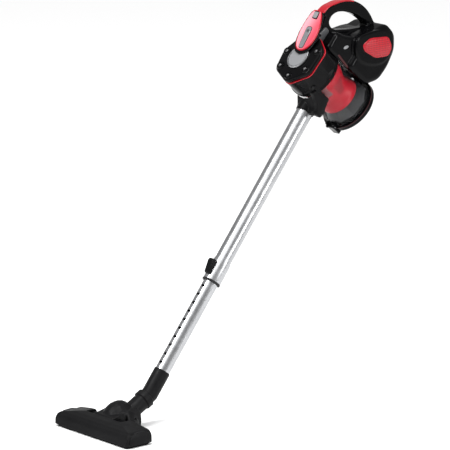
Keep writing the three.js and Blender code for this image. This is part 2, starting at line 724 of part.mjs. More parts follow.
// Cup lid, hinged on the handle side and latched on the tube side.
const hingeU = cupEnd + 5;
const hingeH = lidRadius + 3.6;
const knuckle = (from, to, radius) => rod('z', radius, from, to, [hingeU, hingeH, 0], 20);
let cupLid = turned('x', [
  [cupEnd, 0], [cupEnd, lidRadius], [lidEnd - 3, lidRadius], [lidEnd, lidRadius - 4], [lidEnd, 0]], 36);
cupLid = cut(cupLid, rod('x', cupRadius - 6, cupEnd - 1, lidEnd - 3, [0, 0, 0], 30));
cupLid = join(cupLid, knuckle(-6, 6, 3.4), box([hingeU - 3.4, lidRadius - 6, -6], [hingeU + 3.4,
    hingeH, 6]));
cupLid = cut(cupLid, knuckle(-7, 7, hingePinRadius + clearance));
cupLid = cut(cupLid, box([cupEnd - 1, -lidRadius - 4, -9], [lidEnd + 1, 5 - lidRadius, 9]));
piece(hand, 'cup_lid', cupLid, glossBlack);
piece(hand, 'lid_seal', ring('x', cupRadius - 10, cupRadius - 6.3, cupEnd - 3.5, cupEnd + 4, 30),
    blackRubber);
piece(hand, 'lid_hinge_pin', knuckle(-13, 13, hingePinRadius), steel);
const hingeLug = (side) => cut(
  join(
    knuckle(side > 0 ? 6.4 : -12.4, side > 0 ? 12.4 : -6.4, 3.4),
    box([cupEnd - 14, cupRadius - 1, side > 0 ? 6.4 : -12.4], [hingeU, hingeH + 3.4,
        side > 0 ? 12.4 : -6.4])),
  knuckle(-14, 14, hingePinRadius + clearance),
  rod('x', cupRadius + clearance, 0, 240, [0, 0, 0], 36),
  rod('x', lidRadius + clearance, cupEnd - clearance, 240, [0, 0, 0], 36));
for (const [name, side] of sides) piece(hand, `hinge_lug_${name}`, hingeLug(side), glossBlack);

const latchH = -lidRadius - 1;
const lidLatch = join(
  rod('z', 2.8, -8.4, 8.4, [cupEnd - 6, latchH, 0], 16),
  box([cupEnd - 6, latchH - 2.6, -8.4], [lidEnd + 3, latchH + 2.4, 8.4]),
  box([lidEnd + clearance, latchH, -8.4], [lidEnd + 3, latchH + 5.2, 8.4]));
piece(hand, 'lid_latch', cut(lidLatch, rod('z', 1.5, -20, 20, [cupEnd - 6, latchH, 0], 12)), glossBlack);
piece(hand, 'latch_pin', rod('z', 1.2, -12.5, 12.5, [cupEnd - 6, latchH, 0], 12), steel);
for (const [name, side] of sides) {
  const [from, to] = side > 0 ? [8.8, 12.8] : [-12.8, -8.8];
  const lug = cut(
    join(rod('z', 4, from, to, [cupEnd - 6, latchH, 0], 16),
      box([cupEnd - 14, latchH, from], [cupEnd - 2, 3 - cupRadius, to])),
    rod('z', 1.5, -20, 20, [cupEnd - 6, latchH, 0], 12),
    rod('x', cupRadius + clearance, 0, 240, [0, 0, 0], 36));
  piece(hand, `latch_lug_${name}`, lug, glossBlack);
}

// ---------------------------------------------------------------- motor housing and handle

// The housing is a wide motor block behind the grip and a slimmer neck that runs over the collar.
const motorBlockOutline = [
  [92, 40], [158, 40], [182, 68], [185, 104], [178, 142], [156, 168], [122, 171], [104, 140], [92, 118]];
const saddleOutline = [[24, 40], [120, 40], [120, 118], [88, 112], [50, 90], [24, 84]];

/** The motor housing, solid, drawn in by an inset. */
function bodyBlock(inset) {
  const grow = (points, u, h) => points.map(([x, y]) => [u + (x - u) * (1 - inset / 45),
      h + (y - h) * (1 - inset / 60)]);
  const motorBlock = plate(roundedOutline(grow(motorBlockOutline, 136, 104), 24),
      2 * (bodyHalf - inset), 11, 4);
  const saddle = plate(roundedOutline(grow(saddleOutline, 72, 80), 18), 2 * (saddleHalf - inset), 6, 4);
  return join(motorBlock, saddle);
}

/** The grip loop without its finger opening, in the (u, h) plane. */
function gripLoop() {
  const outer = new THREE.Shape();
  outer.moveTo(0, 62);
  outer.lineTo(-8, 104);
  outer.quadraticCurveTo(-7, 120, 3, 132);
  outer.quadraticCurveTo(22, 157, 48, 168);
  outer.quadraticCurveTo(76, 177, 106, 169);
  outer.lineTo(150, 158);
  outer.lineTo(150, 80);
  outer.lineTo(40, 62);
  outer.closePath();
  return plate(outer, 2 * gripHalf, 4, 4);
}

/** The front leg: a leaf-shaped shield that carries the front panel and reaches down over the cap. */
function leaf(width, from, to) {
  const shape = new THREE.Shape();
  const length = to - from;
  shape.moveTo(0, from);
  shape.bezierCurveTo(width * 0.75, from, width, from + length * 0.25, width, from + length * 0.45);
  shape.bezierCurveTo(width, from + length * 0.7, width * 0.6, to - 6, width * 0.4, to);
  shape.lineTo(-width * 0.4, to);
  shape.bezierCurveTo(-width * 0.6, to - 6, -width, from + length * 0.7, -width, from + length * 0.45);
  shape.bezierCurveTo(-width, from + length * 0.25, -width * 0.75, from, 0, from);
  return shape;
}

/** Stands an outline in (x, h) across the front of the hand unit, raised by h, between two depths. */
function standing(shape, near, far, bevel = 0, rise = 0) {
  return plate(shape, far - near, bevel, 4)
    .translate([0, rise, (near + far) / 2])
    .rotate([0, 90, 0])
    .rotate([0, 0, panelTilt]);
}

/** The front leg's round column, from one radius to another, leaning with the panel. */
function crown(inner, outer) {
  const points = [[inner, -20], [outer, -20], [outer, 140], [inner, 140], [inner, -20]]
    .map(([radius, height]) => new THREE.Vector2(radius, height));
  return solid(new THREE.LatheGeometry(points, 96)).translate([crownU, 0, 0]).rotate([0, 0, panelTilt]);
}

const bezel = leaf(panelHalf + bezelMargin, panelFrom - 7, panelTo + 4);
const shield = standing(bezel, -30, 12).intersect(crown(crownRadius - 12, crownRadius - 1.6));
const legCore = cut(
  standing(leaf(panelHalf + 2, 48, panelTo + 4), -30, 30).intersect(crown(1, crownRadius - 1.6)),
  box([-60, -20, -60], [100, 61.5, 60]));

const wholeHandle = join(gripLoop(), shield, legCore);
const panelPocket = standing(leaf(panelHalf + 0.4, panelFrom - 0.4, panelTo + 0.4), -30, 12)
  .intersect(crown(crownRadius - 3.6, crownRadius + 9));
const gripHole = roundedOutline(
  [[14, 96], [12, 112], [20, 127], [34, 138], [54, 148], [78, 155], [106, 157], [114, 151], [80, 121],
      [44, 95],
    [28, 90]], 7);
const cycloneSpace = join(
  rod('x', trimRadius + 3.5, 0, collarStart + 1, [0, 0, 0], 36),
  rod('x', cycloneRadius + clearance, collarStart, 240, [0, 0, 0], 36));
const ventCentre = [132, 120];
const ventOutline = [[92, 97], [100, 120], [141, 151], [164, 140], [168, 120], [140, 96], [104, 90]];
const vent = (inset) => {
  const points = ventOutline.map(([u, h]) => [
    ventCentre[0] + (u - ventCentre[0]) * (1 - inset / 35),
    ventCentre[1] + (h - ventCentre[1]) * (1 - inset / 28)]);
  return roundedOutline(points, 8);
};
const buttonFace = crownU - crownRadius - 1.2;
const buttonOutline = (extra) => rectangle(13 + extra, 15 + extra, 3);
const lensOutline = (extra) => rectangle(10 + extra, 46 + extra, 5 + extra / 2);
const buttonHole = standing(buttonOutline(1.2), -30, 14, 0, buttonH);
const lensHole = standing(lensOutline(0.8), -30, buttonFace + 4, 0, lensH);

let handle = join(bodyBlock(0), wholeHandle);
handle = cut(
  handle,
  bodyBlock(shellWall).intersect(box([34, 60, -60], [200, 200, 60])),
  plate(gripHole, 200),
  cycloneSpace,
  panelPocket,
  buttonHole,
  plate(vent(3), 200).intersect(box([0, 0, -100], [300, 300, 100])),
  plate(vent(-1), 200).subtract(plate(vent(-1), 2 * bodyHalf - 5)),
  rod('x', 5 + clearance, 150, 240, [0, 82, 0], 24),
  rod('z', 3.4, -30, 30, [hingeU, hingeH, 0], 20),
  box([cupEnd - 16, 50, -14], [lidEnd + 4, hingeH + 5.5, 14]),
);
const halves = [['left', box([-60, -20, 0.1], [260, 220, 90])], ['right', box([-60, -20, -90], [260,
    220, -0.1])]];
for (const [name, half] of halves) piece(hand, `housing_${name}`, handle.intersect(half), glossBlack);

const panel = cut(
  standing(leaf(panelHalf, panelFrom, panelTo), -30, 12).intersect(crown(crownRadius - 3.3, crownRadius)),
  buttonHole,
  lensHole);
piece(hand, 'front_panel', panel, glossRed);
piece(hand, 'power_button',
  standing(buttonOutline(0), buttonFace, buttonFace + 9, 0.8, buttonH), greyPlastic);
piece(hand, 'display_lens',
  standing(lensOutline(0), buttonFace + 0.6, buttonFace + 3.7, 0.5, lensH), greyPlastic);

for (const [name, side] of sides) {
  const grille = plate(vent(-0.4), 3).translate([0, 0, side * (bodyHalf - 0.7)]);
  piece(hand, `vent_cover_${name}`, grille, glossRed);
  const pad = plate(vent(7), 5).translate([0, 0, side * (bodyHalf - shellWall - 5)]);
  piece(hand, `exhaust_filter_${name}`, pad, whiteFilter);
}

const motorAt = (manifold) => manifold.translate([0, motorCentreH, 0]);
const [motorFrom, motorTo] = [motorCentreU - motorLength / 2, motorCentreU + motorLength / 2];
piece(hand, 'motor_can', motorAt(turned('x', [
  [motorFrom, 8], [motorTo, 8], [motorTo, 5], [motorTo + 2, 5], [motorTo + 2, motorRadius], [motorFrom,
      motorRadius],
  [motorFrom, motorRadius - canWall], [motorTo - 1, motorRadius - canWall], [motorTo - 1, 12],
      [motorFrom, 12],
], 28).intersect(rod('x', 80, motorFrom, motorTo + 2))), steel);
piece(hand, 'motor_mount', motorAt(ring('x', motorRadius + clearance, motorRadius + 5, motorTo - 14,
    motorTo - 4, 28)),
  blackRubber);
piece(hand, 'rotor', motorAt(turned('x', [
  [motorFrom - 14, 0], [motorFrom - 14, 3], [motorFrom + 4, 3], [motorFrom + 4, 3.5],
  [motorTo - 6, 3.5], [motorTo + 4, 3.5], [motorTo + 4, 0],
], 20)), copper);

/** The centrifugal fan on the motor shaft. */
function impeller() {
  let fan = ring('x', 3.3, fanRadius, motorFrom - 12, motorFrom - 10, 24);
  for (let i = 0; i < 7; i += 1) {
    const blade = box([motorFrom - 10.5, 8, -0.8], [motorFrom - 4, fanRadius - 1,
        0.8]).rotate([(i * 360) / 7, 0, 0]);
    fan = fan.add(blade);
  }
  return join(fan, ring('x', 3.3, 9, motorFrom - 11, motorFrom - 5, 24));
}
piece(hand, 'impeller', motorAt(impeller()), satinBlack);
piece(hand, 'circuit_board', box([60, 76, -16], [90, 77.6, 16]), boardGreen);
piece(hand, 'cord_gland', join(
  rod('x', 5, 172, 184.5, [0, 82, 0], 24), rod('x', 7, 184.5, 187, [0, 82, 0], 24)), blackRubber);

export default vacuum;
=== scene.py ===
"""Looks of a corded stick vacuum cleaner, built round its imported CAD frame.

Each sub-assembly is a class that holds its sizes in millimetres and builds its own pieces. A piece is shaped
in the frame of the part it belongs to, and is then set in place in metres.
"""

import logging
import math
from dataclasses import dataclass, field
from enum import Enum
from typing import Callable, Iterable, Optional, Sequence

import bmesh
import bpy
from mathutils import Matrix, Vector


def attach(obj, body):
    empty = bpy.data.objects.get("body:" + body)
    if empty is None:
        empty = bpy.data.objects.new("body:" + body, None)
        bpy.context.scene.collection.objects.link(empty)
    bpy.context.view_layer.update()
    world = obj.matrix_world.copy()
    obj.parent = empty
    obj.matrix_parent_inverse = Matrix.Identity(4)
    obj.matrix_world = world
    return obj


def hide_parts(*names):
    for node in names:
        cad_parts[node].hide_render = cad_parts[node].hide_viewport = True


logging.basicConfig(level=logging.INFO, format="%(message)s")
log = logging.getLogger("vacuum")

MM = 0.001
Point = tuple[float, float]
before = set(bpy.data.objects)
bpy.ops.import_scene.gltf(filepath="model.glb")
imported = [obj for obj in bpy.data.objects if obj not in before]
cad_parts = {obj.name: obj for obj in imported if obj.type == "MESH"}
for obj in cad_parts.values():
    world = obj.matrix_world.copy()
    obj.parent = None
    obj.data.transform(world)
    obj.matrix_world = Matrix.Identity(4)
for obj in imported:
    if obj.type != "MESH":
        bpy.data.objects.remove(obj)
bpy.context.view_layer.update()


# ---------------------------------------------------------------- colour and material


def linear(hex_colour: str) -> tuple[float, float, float, float]:
    """Turn an sRGB hex value such as "#c8202e" into a linear colour with full alpha.

    Args:
        hex_colour: Six hex digits after a hash.

    Returns:
        Red, green, blue and alpha.
    """
    channels = [int(hex_colour[i:i + 2], 16) / 255 for i in (1, 3, 5)]
    straight = [c / 12.92 if c <= 0.04045 else ((c + 0.055) / 1.055) ** 2.4 for c in channels]
    return (*straight, 1.0)


def node(tree: bpy.types.NodeTree, kind: str, settings: Optional[dict] = None,
         links: Optional[dict] = None) -> bpy.types.Node:
    """Add one shader node, set its sockets and properties, and link its inputs.

    Args:
        tree: The material's node tree.
        kind: The node's type name.
        settings: Values by input socket name, or by property name.
        links: Output sockets by the input socket name that they feed.

    Returns:
        The new node.
    """
    made = tree.nodes.new(kind)
    for name, value in (settings or {}).items():
        if name in made.inputs:
            made.inputs[name].default_value = value
        else:
            setattr(made, name, value)
    for name, output in (links or {}).items():
        tree.links.new(output, made.inputs[name])
    return made


class Surface(Enum):
    """How a surface was made, which sets the form of its fine relief."""

    POLISHED = "polished mould"
    SPARK = "spark-eroded mould"
    DRAWN = "drawn and polished metal"
    WOVEN = "cut pile"
    DIMPLED = "field of small domes"


@dataclass(frozen=True)
class Finish:
    """One real material with its colour, gloss and fine relief."""

    name: str
    slot: str
    colour: str
    wear_and_dome_shade: str                       # the colour that handling and dust give it; on a dimpled surface, painted shade between the domes
    roughness: float
    surface: Surface = Surface.POLISHED
    metallic: float = 0.0
    ior: float = 1.5
    grain: float = 0.8              # of the relief, in millimetres
    relief: float = 0.05            # depth of the relief, in millimetres
    patch: float = 60.0             # size of the patches of wear, in millimetres
    specular: float = 0.5           # level of the clear reflection
    coat: float = 0.0
    coat_roughness: float = 0.04
    alpha: float = 1.0
    fade: Optional[tuple[str, Vector, Vector]] = None       # a far colour, and where it starts and ends
    smear: float = 22.0             # size of the smears that hands leave, in millimetres
    smear_share: float = 0.35       # of the roughness, that a smear adds

    def material(self) -> bpy.types.Material:
        """Build the node material, or return the one already built.

        Returns:
            The material.
        """
        known = bpy.data.materials.get(self.name)
        if known:
            return known
        made = bpy.data.materials.new(self.name)
        made.use_nodes = True
        tree = made.node_tree
        shader = tree.nodes["Principled BSDF"]
        place = node(tree, "ShaderNodeTexCoord").outputs["Object"]
        colour = self._colour(tree, place)
        tree.links.new(colour, shader.inputs["Base Color"])
        tree.links.new(self._roughness(tree, place), shader.inputs["Roughness"])
        tree.links.new(self._relief(tree, place), shader.inputs["Normal"])
        shader.inputs["Metallic"].default_value = self.metallic
        if not self.metallic:
            shader.inputs["IOR"].default_value = self.ior
        shader.inputs["Specular IOR Level"].default_value = self.specular
        shader.inputs["Coat Weight"].default_value = self.coat
        shader.inputs["Coat Roughness"].default_value = self.coat_roughness
        shader.inputs["Alpha"].default_value = self.alpha
        return made

    def _colour(self, tree: bpy.types.NodeTree, place: bpy.types.NodeSocket) -> bpy.types.NodeSocket:
        """Mix the clean colour with the second colour in soft patches of wear, or, on a dimpled surface, with
        painted shade that darkens the red towards each dome's rim; and fade it to a far colour if it has one.

        Args:
            tree: The material's node tree.
            place: The Object coordinates.

        Returns:
            The colour output.
        """
        if self.surface is Surface.DIMPLED:
            # Painted shade: the second colour darkens the red towards the rim of each dome.
            pattern = node(tree, "ShaderNodeTexVoronoi", {"Scale": 1 / (self.grain * MM), "Randomness": 0.0},
                           {"Vector": place}).outputs["Distance"]
            limits = {"From Min": 0.3, "From Max": 0.62, "To Max": 0.9}
        else:
            pattern = node(tree, "ShaderNodeTexNoise", {"Scale": 1 / (self.patch * MM), "Detail": 4.0},
                           {"Vector": place}).outputs["Fac"]
            limits = {"From Min": 0.35, "From Max": 0.8, "To Max": 0.55}
        share = node(tree, "ShaderNodeMapRange", limits, {"Value": pattern})
        mixed = node(tree, "ShaderNodeMix", {"data_type": "RGBA"})
        tree.links.new(share.outputs["Result"], mixed.inputs["Factor"])
        mixed.inputs[6].default_value = linear(self.colour)
        mixed.inputs[7].default_value = linear(self.wear_and_dome_shade)
        if self.fade is None:
            return mixed.outputs[2]
        far_colour, start, end = self.fade
        along = end - start
        offset = node(tree, "ShaderNodeVectorMath", {"operation": "SUBTRACT"}, {0: place})
        offset.inputs[1].default_value = start
        reach = node(tree, "ShaderNodeVectorMath", {"operation": "DOT_PRODUCT"}, {0: offset.outputs["Vector"]})
        reach.inputs[1].default_value = along / along.length_squared
        ramp = node(tree, "ShaderNodeMapRange", {"interpolation_type": "SMOOTHSTEP"},
                    {"Value": reach.outputs["Value"]})
        faded = node(tree, "ShaderNodeMix", {"data_type": "RGBA"})
        tree.links.new(ramp.outputs["Result"], faded.inputs["Factor"])
        tree.links.new(mixed.outputs[2], faded.inputs[6])
        faded.inputs[7].default_value = linear(far_colour)
        return faded.outputs[2]

    def _roughness(self, tree: bpy.types.NodeTree, place: bpy.types.NodeSocket) -> bpy.types.NodeSocket:
        """Vary the roughness with faint smears from handling.

        Args:
            tree: The material's node tree.
            place: The Object coordinates.

        Returns:
            The roughness output.
        """
        settings = {"Scale": 1 / (self.smear * MM), "Detail": 5.0, "Roughness": 0.62}
        smears = node(tree, "ShaderNodeTexNoise", settings, {"Vector": place})
        spread = self.smear_share * self.roughness
        ranged = node(tree, "ShaderNodeMapRange", {
            "From Min": 0.3, "From Max": 0.75, "To Min": self.roughness - spread / 2,
            "To Max": self.roughness + spread}, {"Value": smears.outputs["Fac"]})
        return ranged.outputs["Result"]

    def _relief(self, tree: bpy.types.NodeTree, place: bpy.types.NodeSocket) -> bpy.types.NodeSocket:
        """Bump the surface as its making leaves it.

        Args:
            tree: The material's node tree.
            place: The Object coordinates.

        Returns:
            The normal output.
        """
        scale = 1 / (self.grain * MM)
        if self.surface is Surface.SPARK:
            cells = node(tree, "ShaderNodeTexVoronoi", {"Scale": scale}, {"Vector": place}).outputs["Distance"]
        elif self.surface is Surface.DIMPLED:
            cells = node(tree, "ShaderNodeTexVoronoi", {"Scale": scale, "Randomness": 0.0},
                         {"Vector": place}).outputs["Distance"]
        elif self.surface is Surface.WOVEN:
            cells = node(tree, "ShaderNodeTexNoise", {"Scale": scale, "Detail": 8.0, "Roughness": 0.8},
                         {"Vector": place}).outputs["Fac"]
        else:
            cells = node(tree, "ShaderNodeTexNoise", {"Scale": scale, "Detail": 3.0},
                         {"Vector": place}).outputs["Fac"]
        bump = node(tree, "ShaderNodeBump", {"Strength": 0.6, "Distance": self.relief * MM}, {"Height": cells})
        return bump.outputs["Normal"]


# ABS from a polished mould: near-black, with sharp reflections and very faint orange peel.
GLOSS_BLACK = Finish("Gloss black moulded ABS", "gloss_black_abs", "#050506", "#0a0a0b", 0.15, ior=1.17,
                     grain=9.0, relief=0.02)
# ABS from an etched mould: soft sheen without sharp reflections.
SATIN_BLACK = Finish("Satin black moulded ABS", "satin_black_abs", "#09090a", "#101011", 0.36, Surface.SPARK,
                     ior=1.17, grain=0.9)
# Polypropylene from a spark-eroded mould: dull charcoal that catches light only along its edges.
MATTE_BLACK = Finish("Matte charcoal moulded polypropylene", "matte_black_polypropylene", "#0d0d0e", "#161617",
                     0.4, Surface.SPARK, ior=1.17, grain=1.1, relief=0.05)
# Lacquered ABS: a deep even red under a clear coat that mirrors the lamps.
GLOSS_RED = Finish("Gloss red moulded ABS", "gloss_red_abs", "#930c1a", "#a11525", 0.22, specular=0.25,
                   coat=0.1, grain=9.0, relief=0.02)
# ABS from a polished mould in a lighter red, for the thin line round the cap.
TRIM_RED = Finish("Red moulded ABS trim", "gloss_red_abs", "#a8101f", "#b61b2b", 0.3, grain=6.0, relief=0.02,
                  specular=0.3)
# The same moulded ABS in a dark red, for the flank strips and the lid's line, and as painted shade for the
# holes of the cone.
DEEP_RED = Finish("Deep red moulded ABS", "gloss_red_abs", "#300408", "#3d070c", 0.3, grain=6.0, relief=0.02,
                  specular=0.3)
# The cone's own red, a little fuller because it shows through the tinted cup.
CONE_RED = Finish("Bright red moulded cone", "gloss_red_abs", "#c40e26", "#cf1a33", 0.3, grain=6.0, relief=0.02,
                  specular=0.25)
# ABS pressed with a field of small domes, with painted shade that darkens the red towards each dome's rim.
GRILLE_RED = Finish("Dimpled red moulded grille", "gloss_red_abs", "#a5101f", "#560610", 0.3, Surface.DIMPLED,
                    grain=4.4, relief=0.9, patch=5.0, specular=0.35)
# Painted ABS: an even metallic grey with a soft highlight.
GREY_ABS = Finish("Silver-grey painted ABS", "grey_abs", "#6f7072", "#7c7d7f", 0.34, grain=1.2, relief=0.02)
# ABS moulded in dark grey: a quiet surface that reads as a recess.
SHADE_GREY = Finish("Dark grey moulded ABS", "grey_abs", "#3a3b3d", "#4b4c4e", 0.32, grain=4.0, relief=0.02)
# Polished black ABS of the bosses, whose small domes each hold one bright highlight.
BOSS_BLACK = Finish("Polished black ABS boss", "gloss_black_abs", "#1a1a1c", "#232325", 0.1, coat=0.6,
                    grain=9.0, relief=0.01)
# Moulded acrylic with a smoke tint: smooth, with a sharp clear reflection.
LENS_GREY = Finish("Smoke-grey moulded acrylic", "grey_abs", "#66676a", "#77787c", 0.18, coat=0.4,
                   grain=6.0, relief=0.01)
# Chromed steel, drawn and polished: mirror-like, with faint lengthwise draw marks.
CHROME = Finish("Polished chromed steel tube", "polished_steel_tube", "#a2a3a5", "#b4b5b7", 0.26, Surface.DRAWN,
                metallic=1.0, grain=14.0, relief=0.012)
# Steel with bright zinc plating: a cooler and duller metal than the chrome.
ZINC = Finish("Zinc-plated steel", "zinc_steel", "#8f9296", "#a9abad", 0.32, Surface.DRAWN, metallic=1.0,
              grain=3.0, relief=0.02)
# Moulded rubber: almost no reflection, with a fine dull grain.
RUBBER = Finish("Black moulded rubber", "black_rubber", "#0c0c0d", "#161617", 0.6, Surface.SPARK, grain=0.7,
                specular=0.3)
# Clear polycarbonate with a grey tint: sharp window-like reflections over a dimmed interior.
SMOKE = Finish("Smoke-tinted clear polycarbonate", "smoke_polycarbonate", "#0e0f11", "#17181a", 0.06, ior=1.5,
               alpha=0.16, grain=20.0, relief=0.02)
# Cut nylon tufts: dull, with a rough broken surface.
BRISTLE = Finish("Black nylon bristle", "nylon_bristle", "#131314", "#212123", 0.8, Surface.WOVEN, grain=0.5,
                 relief=0.4)
# Pressed wool felt: fuzzy and without shine.
FELT = Finish("Red lint felt", "red_felt", "#7c1420", "#9b2430", 0.95, Surface.WOVEN, grain=0.6, relief=0.3)
# Bonded polyester fleece: off-white and soft, greyed where dust has settled.
FLEECE = Finish("White filter fleece", "white_filter", "#d9d6cc", "#bdb9ae", 0.95, Surface.WOVEN, grain=1.0,
                relief=0.3)
# Wound copper wire under lacquer: warm metal with the fine lines of its turns.
COPPER = Finish("Lacquered copper winding", "copper_winding", "#8f4a28", "#a9623a", 0.35, Surface.DRAWN,
                metallic=1.0, grain=0.8)
# Glass-epoxy laminate under green solder mask: a smooth half-gloss.
BOARD = Finish("Green circuit board", "circuit_board", "#1f5a3c", "#2a6b49", 0.45, grain=2.0)


# ---------------------------------------------------------------- frames and shaping


def placement(origin: Vector, across: Vector, along: Vector, up: Vector) -> Matrix:
    """Build the matrix that takes a part's own millimetres to metres in the row frame.

    Args:
        origin: The part's origin, in millimetres in the row frame.
        across: The direction of the part's first axis.
        along: The direction of its second axis.
        up: The direction of its third axis.

    Returns:
        The placement, scale included.
    """
    turn = Matrix((across, along, up)).transposed().to_4x4()
    return Matrix.Scale(MM, 4) @ Matrix.Translation(origin) @ turn


DROP = math.radians(40.1)           # of the cyclone's axis below the horizontal
AXIS = Vector((0, math.cos(DROP), -math.sin(DROP)))
LIFT = Vector((0, math.sin(DROP), math.cos(DROP)))
SIDE = Vector((1, 0, 0))
# Hand unit: u from the front disc to the cup lid, h up to the handle, x to the side.
HAND = placement(Vector((0, 514.4, 709.4)), AXIS, LIFT, SIDE)
# Floor head: the row frame itself, in millimetres.
FLOOR = Matrix.Scale(MM, 4)
HAND_AXIS = Vector((1, 0, 0))       # the cyclone's axis, in the hand unit's own frame


def rounded(points: Sequence[Point], radius: float, steps: int = 6) -> list[Point]:
    """Round the corners of a closed outline with parabolic arcs.

    Args:
        points: The outline's corners.
        radius: How far each rounding reaches along its sides.
        steps: Segments in each rounding.

    Returns:
        The rounded outline's points.
    """
    outline = []
    corners = [Vector(p) for p in points]
    for i, corner in enumerate(corners):
        before, after = corners[i - 1], corners[(i + 1) % len(corners)]
        reach = min(radius, 0.46 * (before - corner).length, 0.46 * (after - corner).length)
        start = corner + (before - corner).normalized() * reach
        end = corner + (after - corner).normalized() * reach
        for k in range(steps + 1):
            t = k / steps
            outline.append(tuple(start.lerp(corner, t).lerp(corner.lerp(end, t), t)))
    return outline


def bezier(a: Point, b: Point, c: Point, d: Point, steps: int) -> list[Point]:
    """Sample a cubic curve, its last point left out.

    Args:
        a: The start.
        b: The first handle.
        c: The second handle.
        d: The end.
        steps: Samples to take.

    Returns:
        The sampled points.
    """
    found = []
    for k in range(steps):
        t = k / steps
        s = 1 - t
        weights = (s ** 3, 3 * s * s * t, 3 * s * t * t, t ** 3)
        found.append(tuple(sum(w * p[i] for w, p in zip(weights, (a, b, c, d))) for i in (0, 1)))
    return found


def slab(bm: bmesh.types.BMesh, outline: Sequence[Point], low: float, high: float,
         lift: Callable[[float, float, float], Vector], bevel: float = 0.0, segments: int = 4) -> list:
    """Extrude an outline between two levels, with its rims rounded.

    Args:
        bm: The mesh to add to.
        outline: The outline's points, none repeated.
        low: The level of one face.
        high: The level of the other face.
        lift: Turns an outline point and a level into a place.
        bevel: The radius of the rims.
        segments: Segments in each rim.

    Returns:
        The new vertices.
    """
    known = set(bm.verts)
    base = bm.faces.new([bm.verts.new(lift(a, b, low)) for a, b in outline])
    rim = set(base.edges)
    made = bmesh.ops.extrude_face_region(bm, geom=[base])
    top = [v for v in made["geom"] if isinstance(v, bmesh.types.BMVert)]
    rim |= {e for e in made["geom"] if isinstance(e, bmesh.types.BMEdge)}
    step = lift(0, 0, high) - lift(0, 0, low)
    bmesh.ops.translate(bm, verts=top, vec=step)
    if bevel:
        bmesh.ops.bevel(bm, geom=[e for e in rim if e.is_valid], offset=bevel, segments=segments, profile=0.5,
                        affect="EDGES", material=-1, clamp_overlap=True)
    return [v for v in bm.verts if v not in known]


def sideways(a: float, b: float, level: float) -> Vector:
    """Lay an outline in the hand unit's (u, h) plane, with its level along x.

    Args:
        a: The station u.
        b: The height h.
        level: The place along x.

    Returns:
        The place in the hand unit's frame.
    """
    return Vector((a, b, level))


def endways(a: float, b: float, level: float) -> Vector:
    """Lay an (x, h) outline across the hand unit's axis, with its level along u.

    Args:
        a: The place along x.
        b: The height h.
        level: The station u.

    Returns:
        The place in the hand unit's frame.
    """
    return Vector((level, b, a))


def turned(bm: bmesh.types.BMesh, profile: Sequence[Point], axis: Vector, steps: int = 72) -> None:
    """Spin a closed profile of (station, radius) pairs round an axis through the origin.

    Args:
        bm: The mesh to add to.
        profile: The profile, closed on itself or ending on the axis at both ends.
        axis: The axis to spin round.
        steps: Steps in the full turn.
    """
    out = axis.orthogonal().normalized()
    loop = [bm.verts.new(axis * station + out * radius) for station, radius in profile]
    edges = [bm.edges.new(pair) for pair in zip(loop, loop[1:])]
    if profile[0][1] > 1e-6 or profile[-1][1] > 1e-6:
        edges.append(bm.edges.new((loop[-1], loop[0])))
    bmesh.ops.spin(bm, geom=loop + edges, cent=(0, 0, 0), axis=axis, dvec=(0, 0, 0), angle=math.tau,
                   steps=steps, use_merge=True)
    bmesh.ops.remove_doubles(bm, verts=bm.verts[:], dist=1e-4)


def shaded(mesh: bpy.types.Mesh, crease: float) -> None:
    """Shade a mesh smoothly, but keep edges sharper than the crease angle crisp.

    Args:
        mesh: The mesh.
        crease: The angle in degrees.
    """
    bm = bmesh.new()
    bm.from_mesh(mesh)
    limit = math.radians(crease)
    for face in bm.faces:
        face.smooth = True
    for edge in bm.edges:
        edge.smooth = len(edge.link_faces) == 2 and edge.calc_face_angle(0.0) < limit
    bm.to_mesh(mesh)
    bm.free()


def ringed(bm: bmesh.types.BMesh, places: Iterable[Vector]) -> list:
    """Join a run of places into one closed ring of edges.

    Args:
        bm: The mesh to add to.
        places: The places in order.

    Returns:
        The ring's edges.
    """
    verts = [bm.verts.new(place) for place in places]
    return [bm.edges.new(pair) for pair in zip(verts, verts[1:] + verts[:1])]


def lofted(bm: bmesh.types.BMesh, rings: Sequence[list]) -> None:
    """Skin a row of rings and close its two ends.

    Args:
        bm: The mesh that holds the rings.
        rings: The rings of edges in order.
    """
    for low, high in zip(rings, rings[1:]):
        bmesh.ops.bridge_loops(bm, edges=low + high)
    for end in (rings[0], rings[-1]):
        bmesh.ops.contextual_create(bm, geom=end)


def poured(source: bmesh.types.BMesh, target: bmesh.types.BMesh) -> None:
    """Add one mesh to another, and free it.

    Args:
        source: The mesh to add, which is used up.
        target: The mesh that takes it.
    """
    part = bpy.data.meshes.new("part")
    source.to_mesh(part)
    source.free()
    target.from_mesh(part)


def settle(name: str, mesh: bpy.types.Mesh, finish: Finish, body: str, stands_for: Iterable[str],
           crease: float) -> bpy.types.Object:
    """Make a finished piece of a mesh that is already in place.

    Args:
        name: The piece's name.
        mesh: Its mesh, in metres in the row frame.
        finish: Its material.
        body: The body it rides on.
        stands_for: The CAD nodes it replaces.
        crease: The shading angle in degrees.

    Returns:
        The piece.
    """
    mesh.materials.clear()
    mesh.materials.append(finish.material())
    shaded(mesh, crease)
    piece = bpy.data.objects.new(name, mesh)
    bpy.context.scene.collection.objects.link(piece)
    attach(piece, body)
    nodes = list(stands_for)
    if nodes:
        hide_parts(*nodes)
    log.info("%s: %d faces", name, len(mesh.polygons))
    return piece


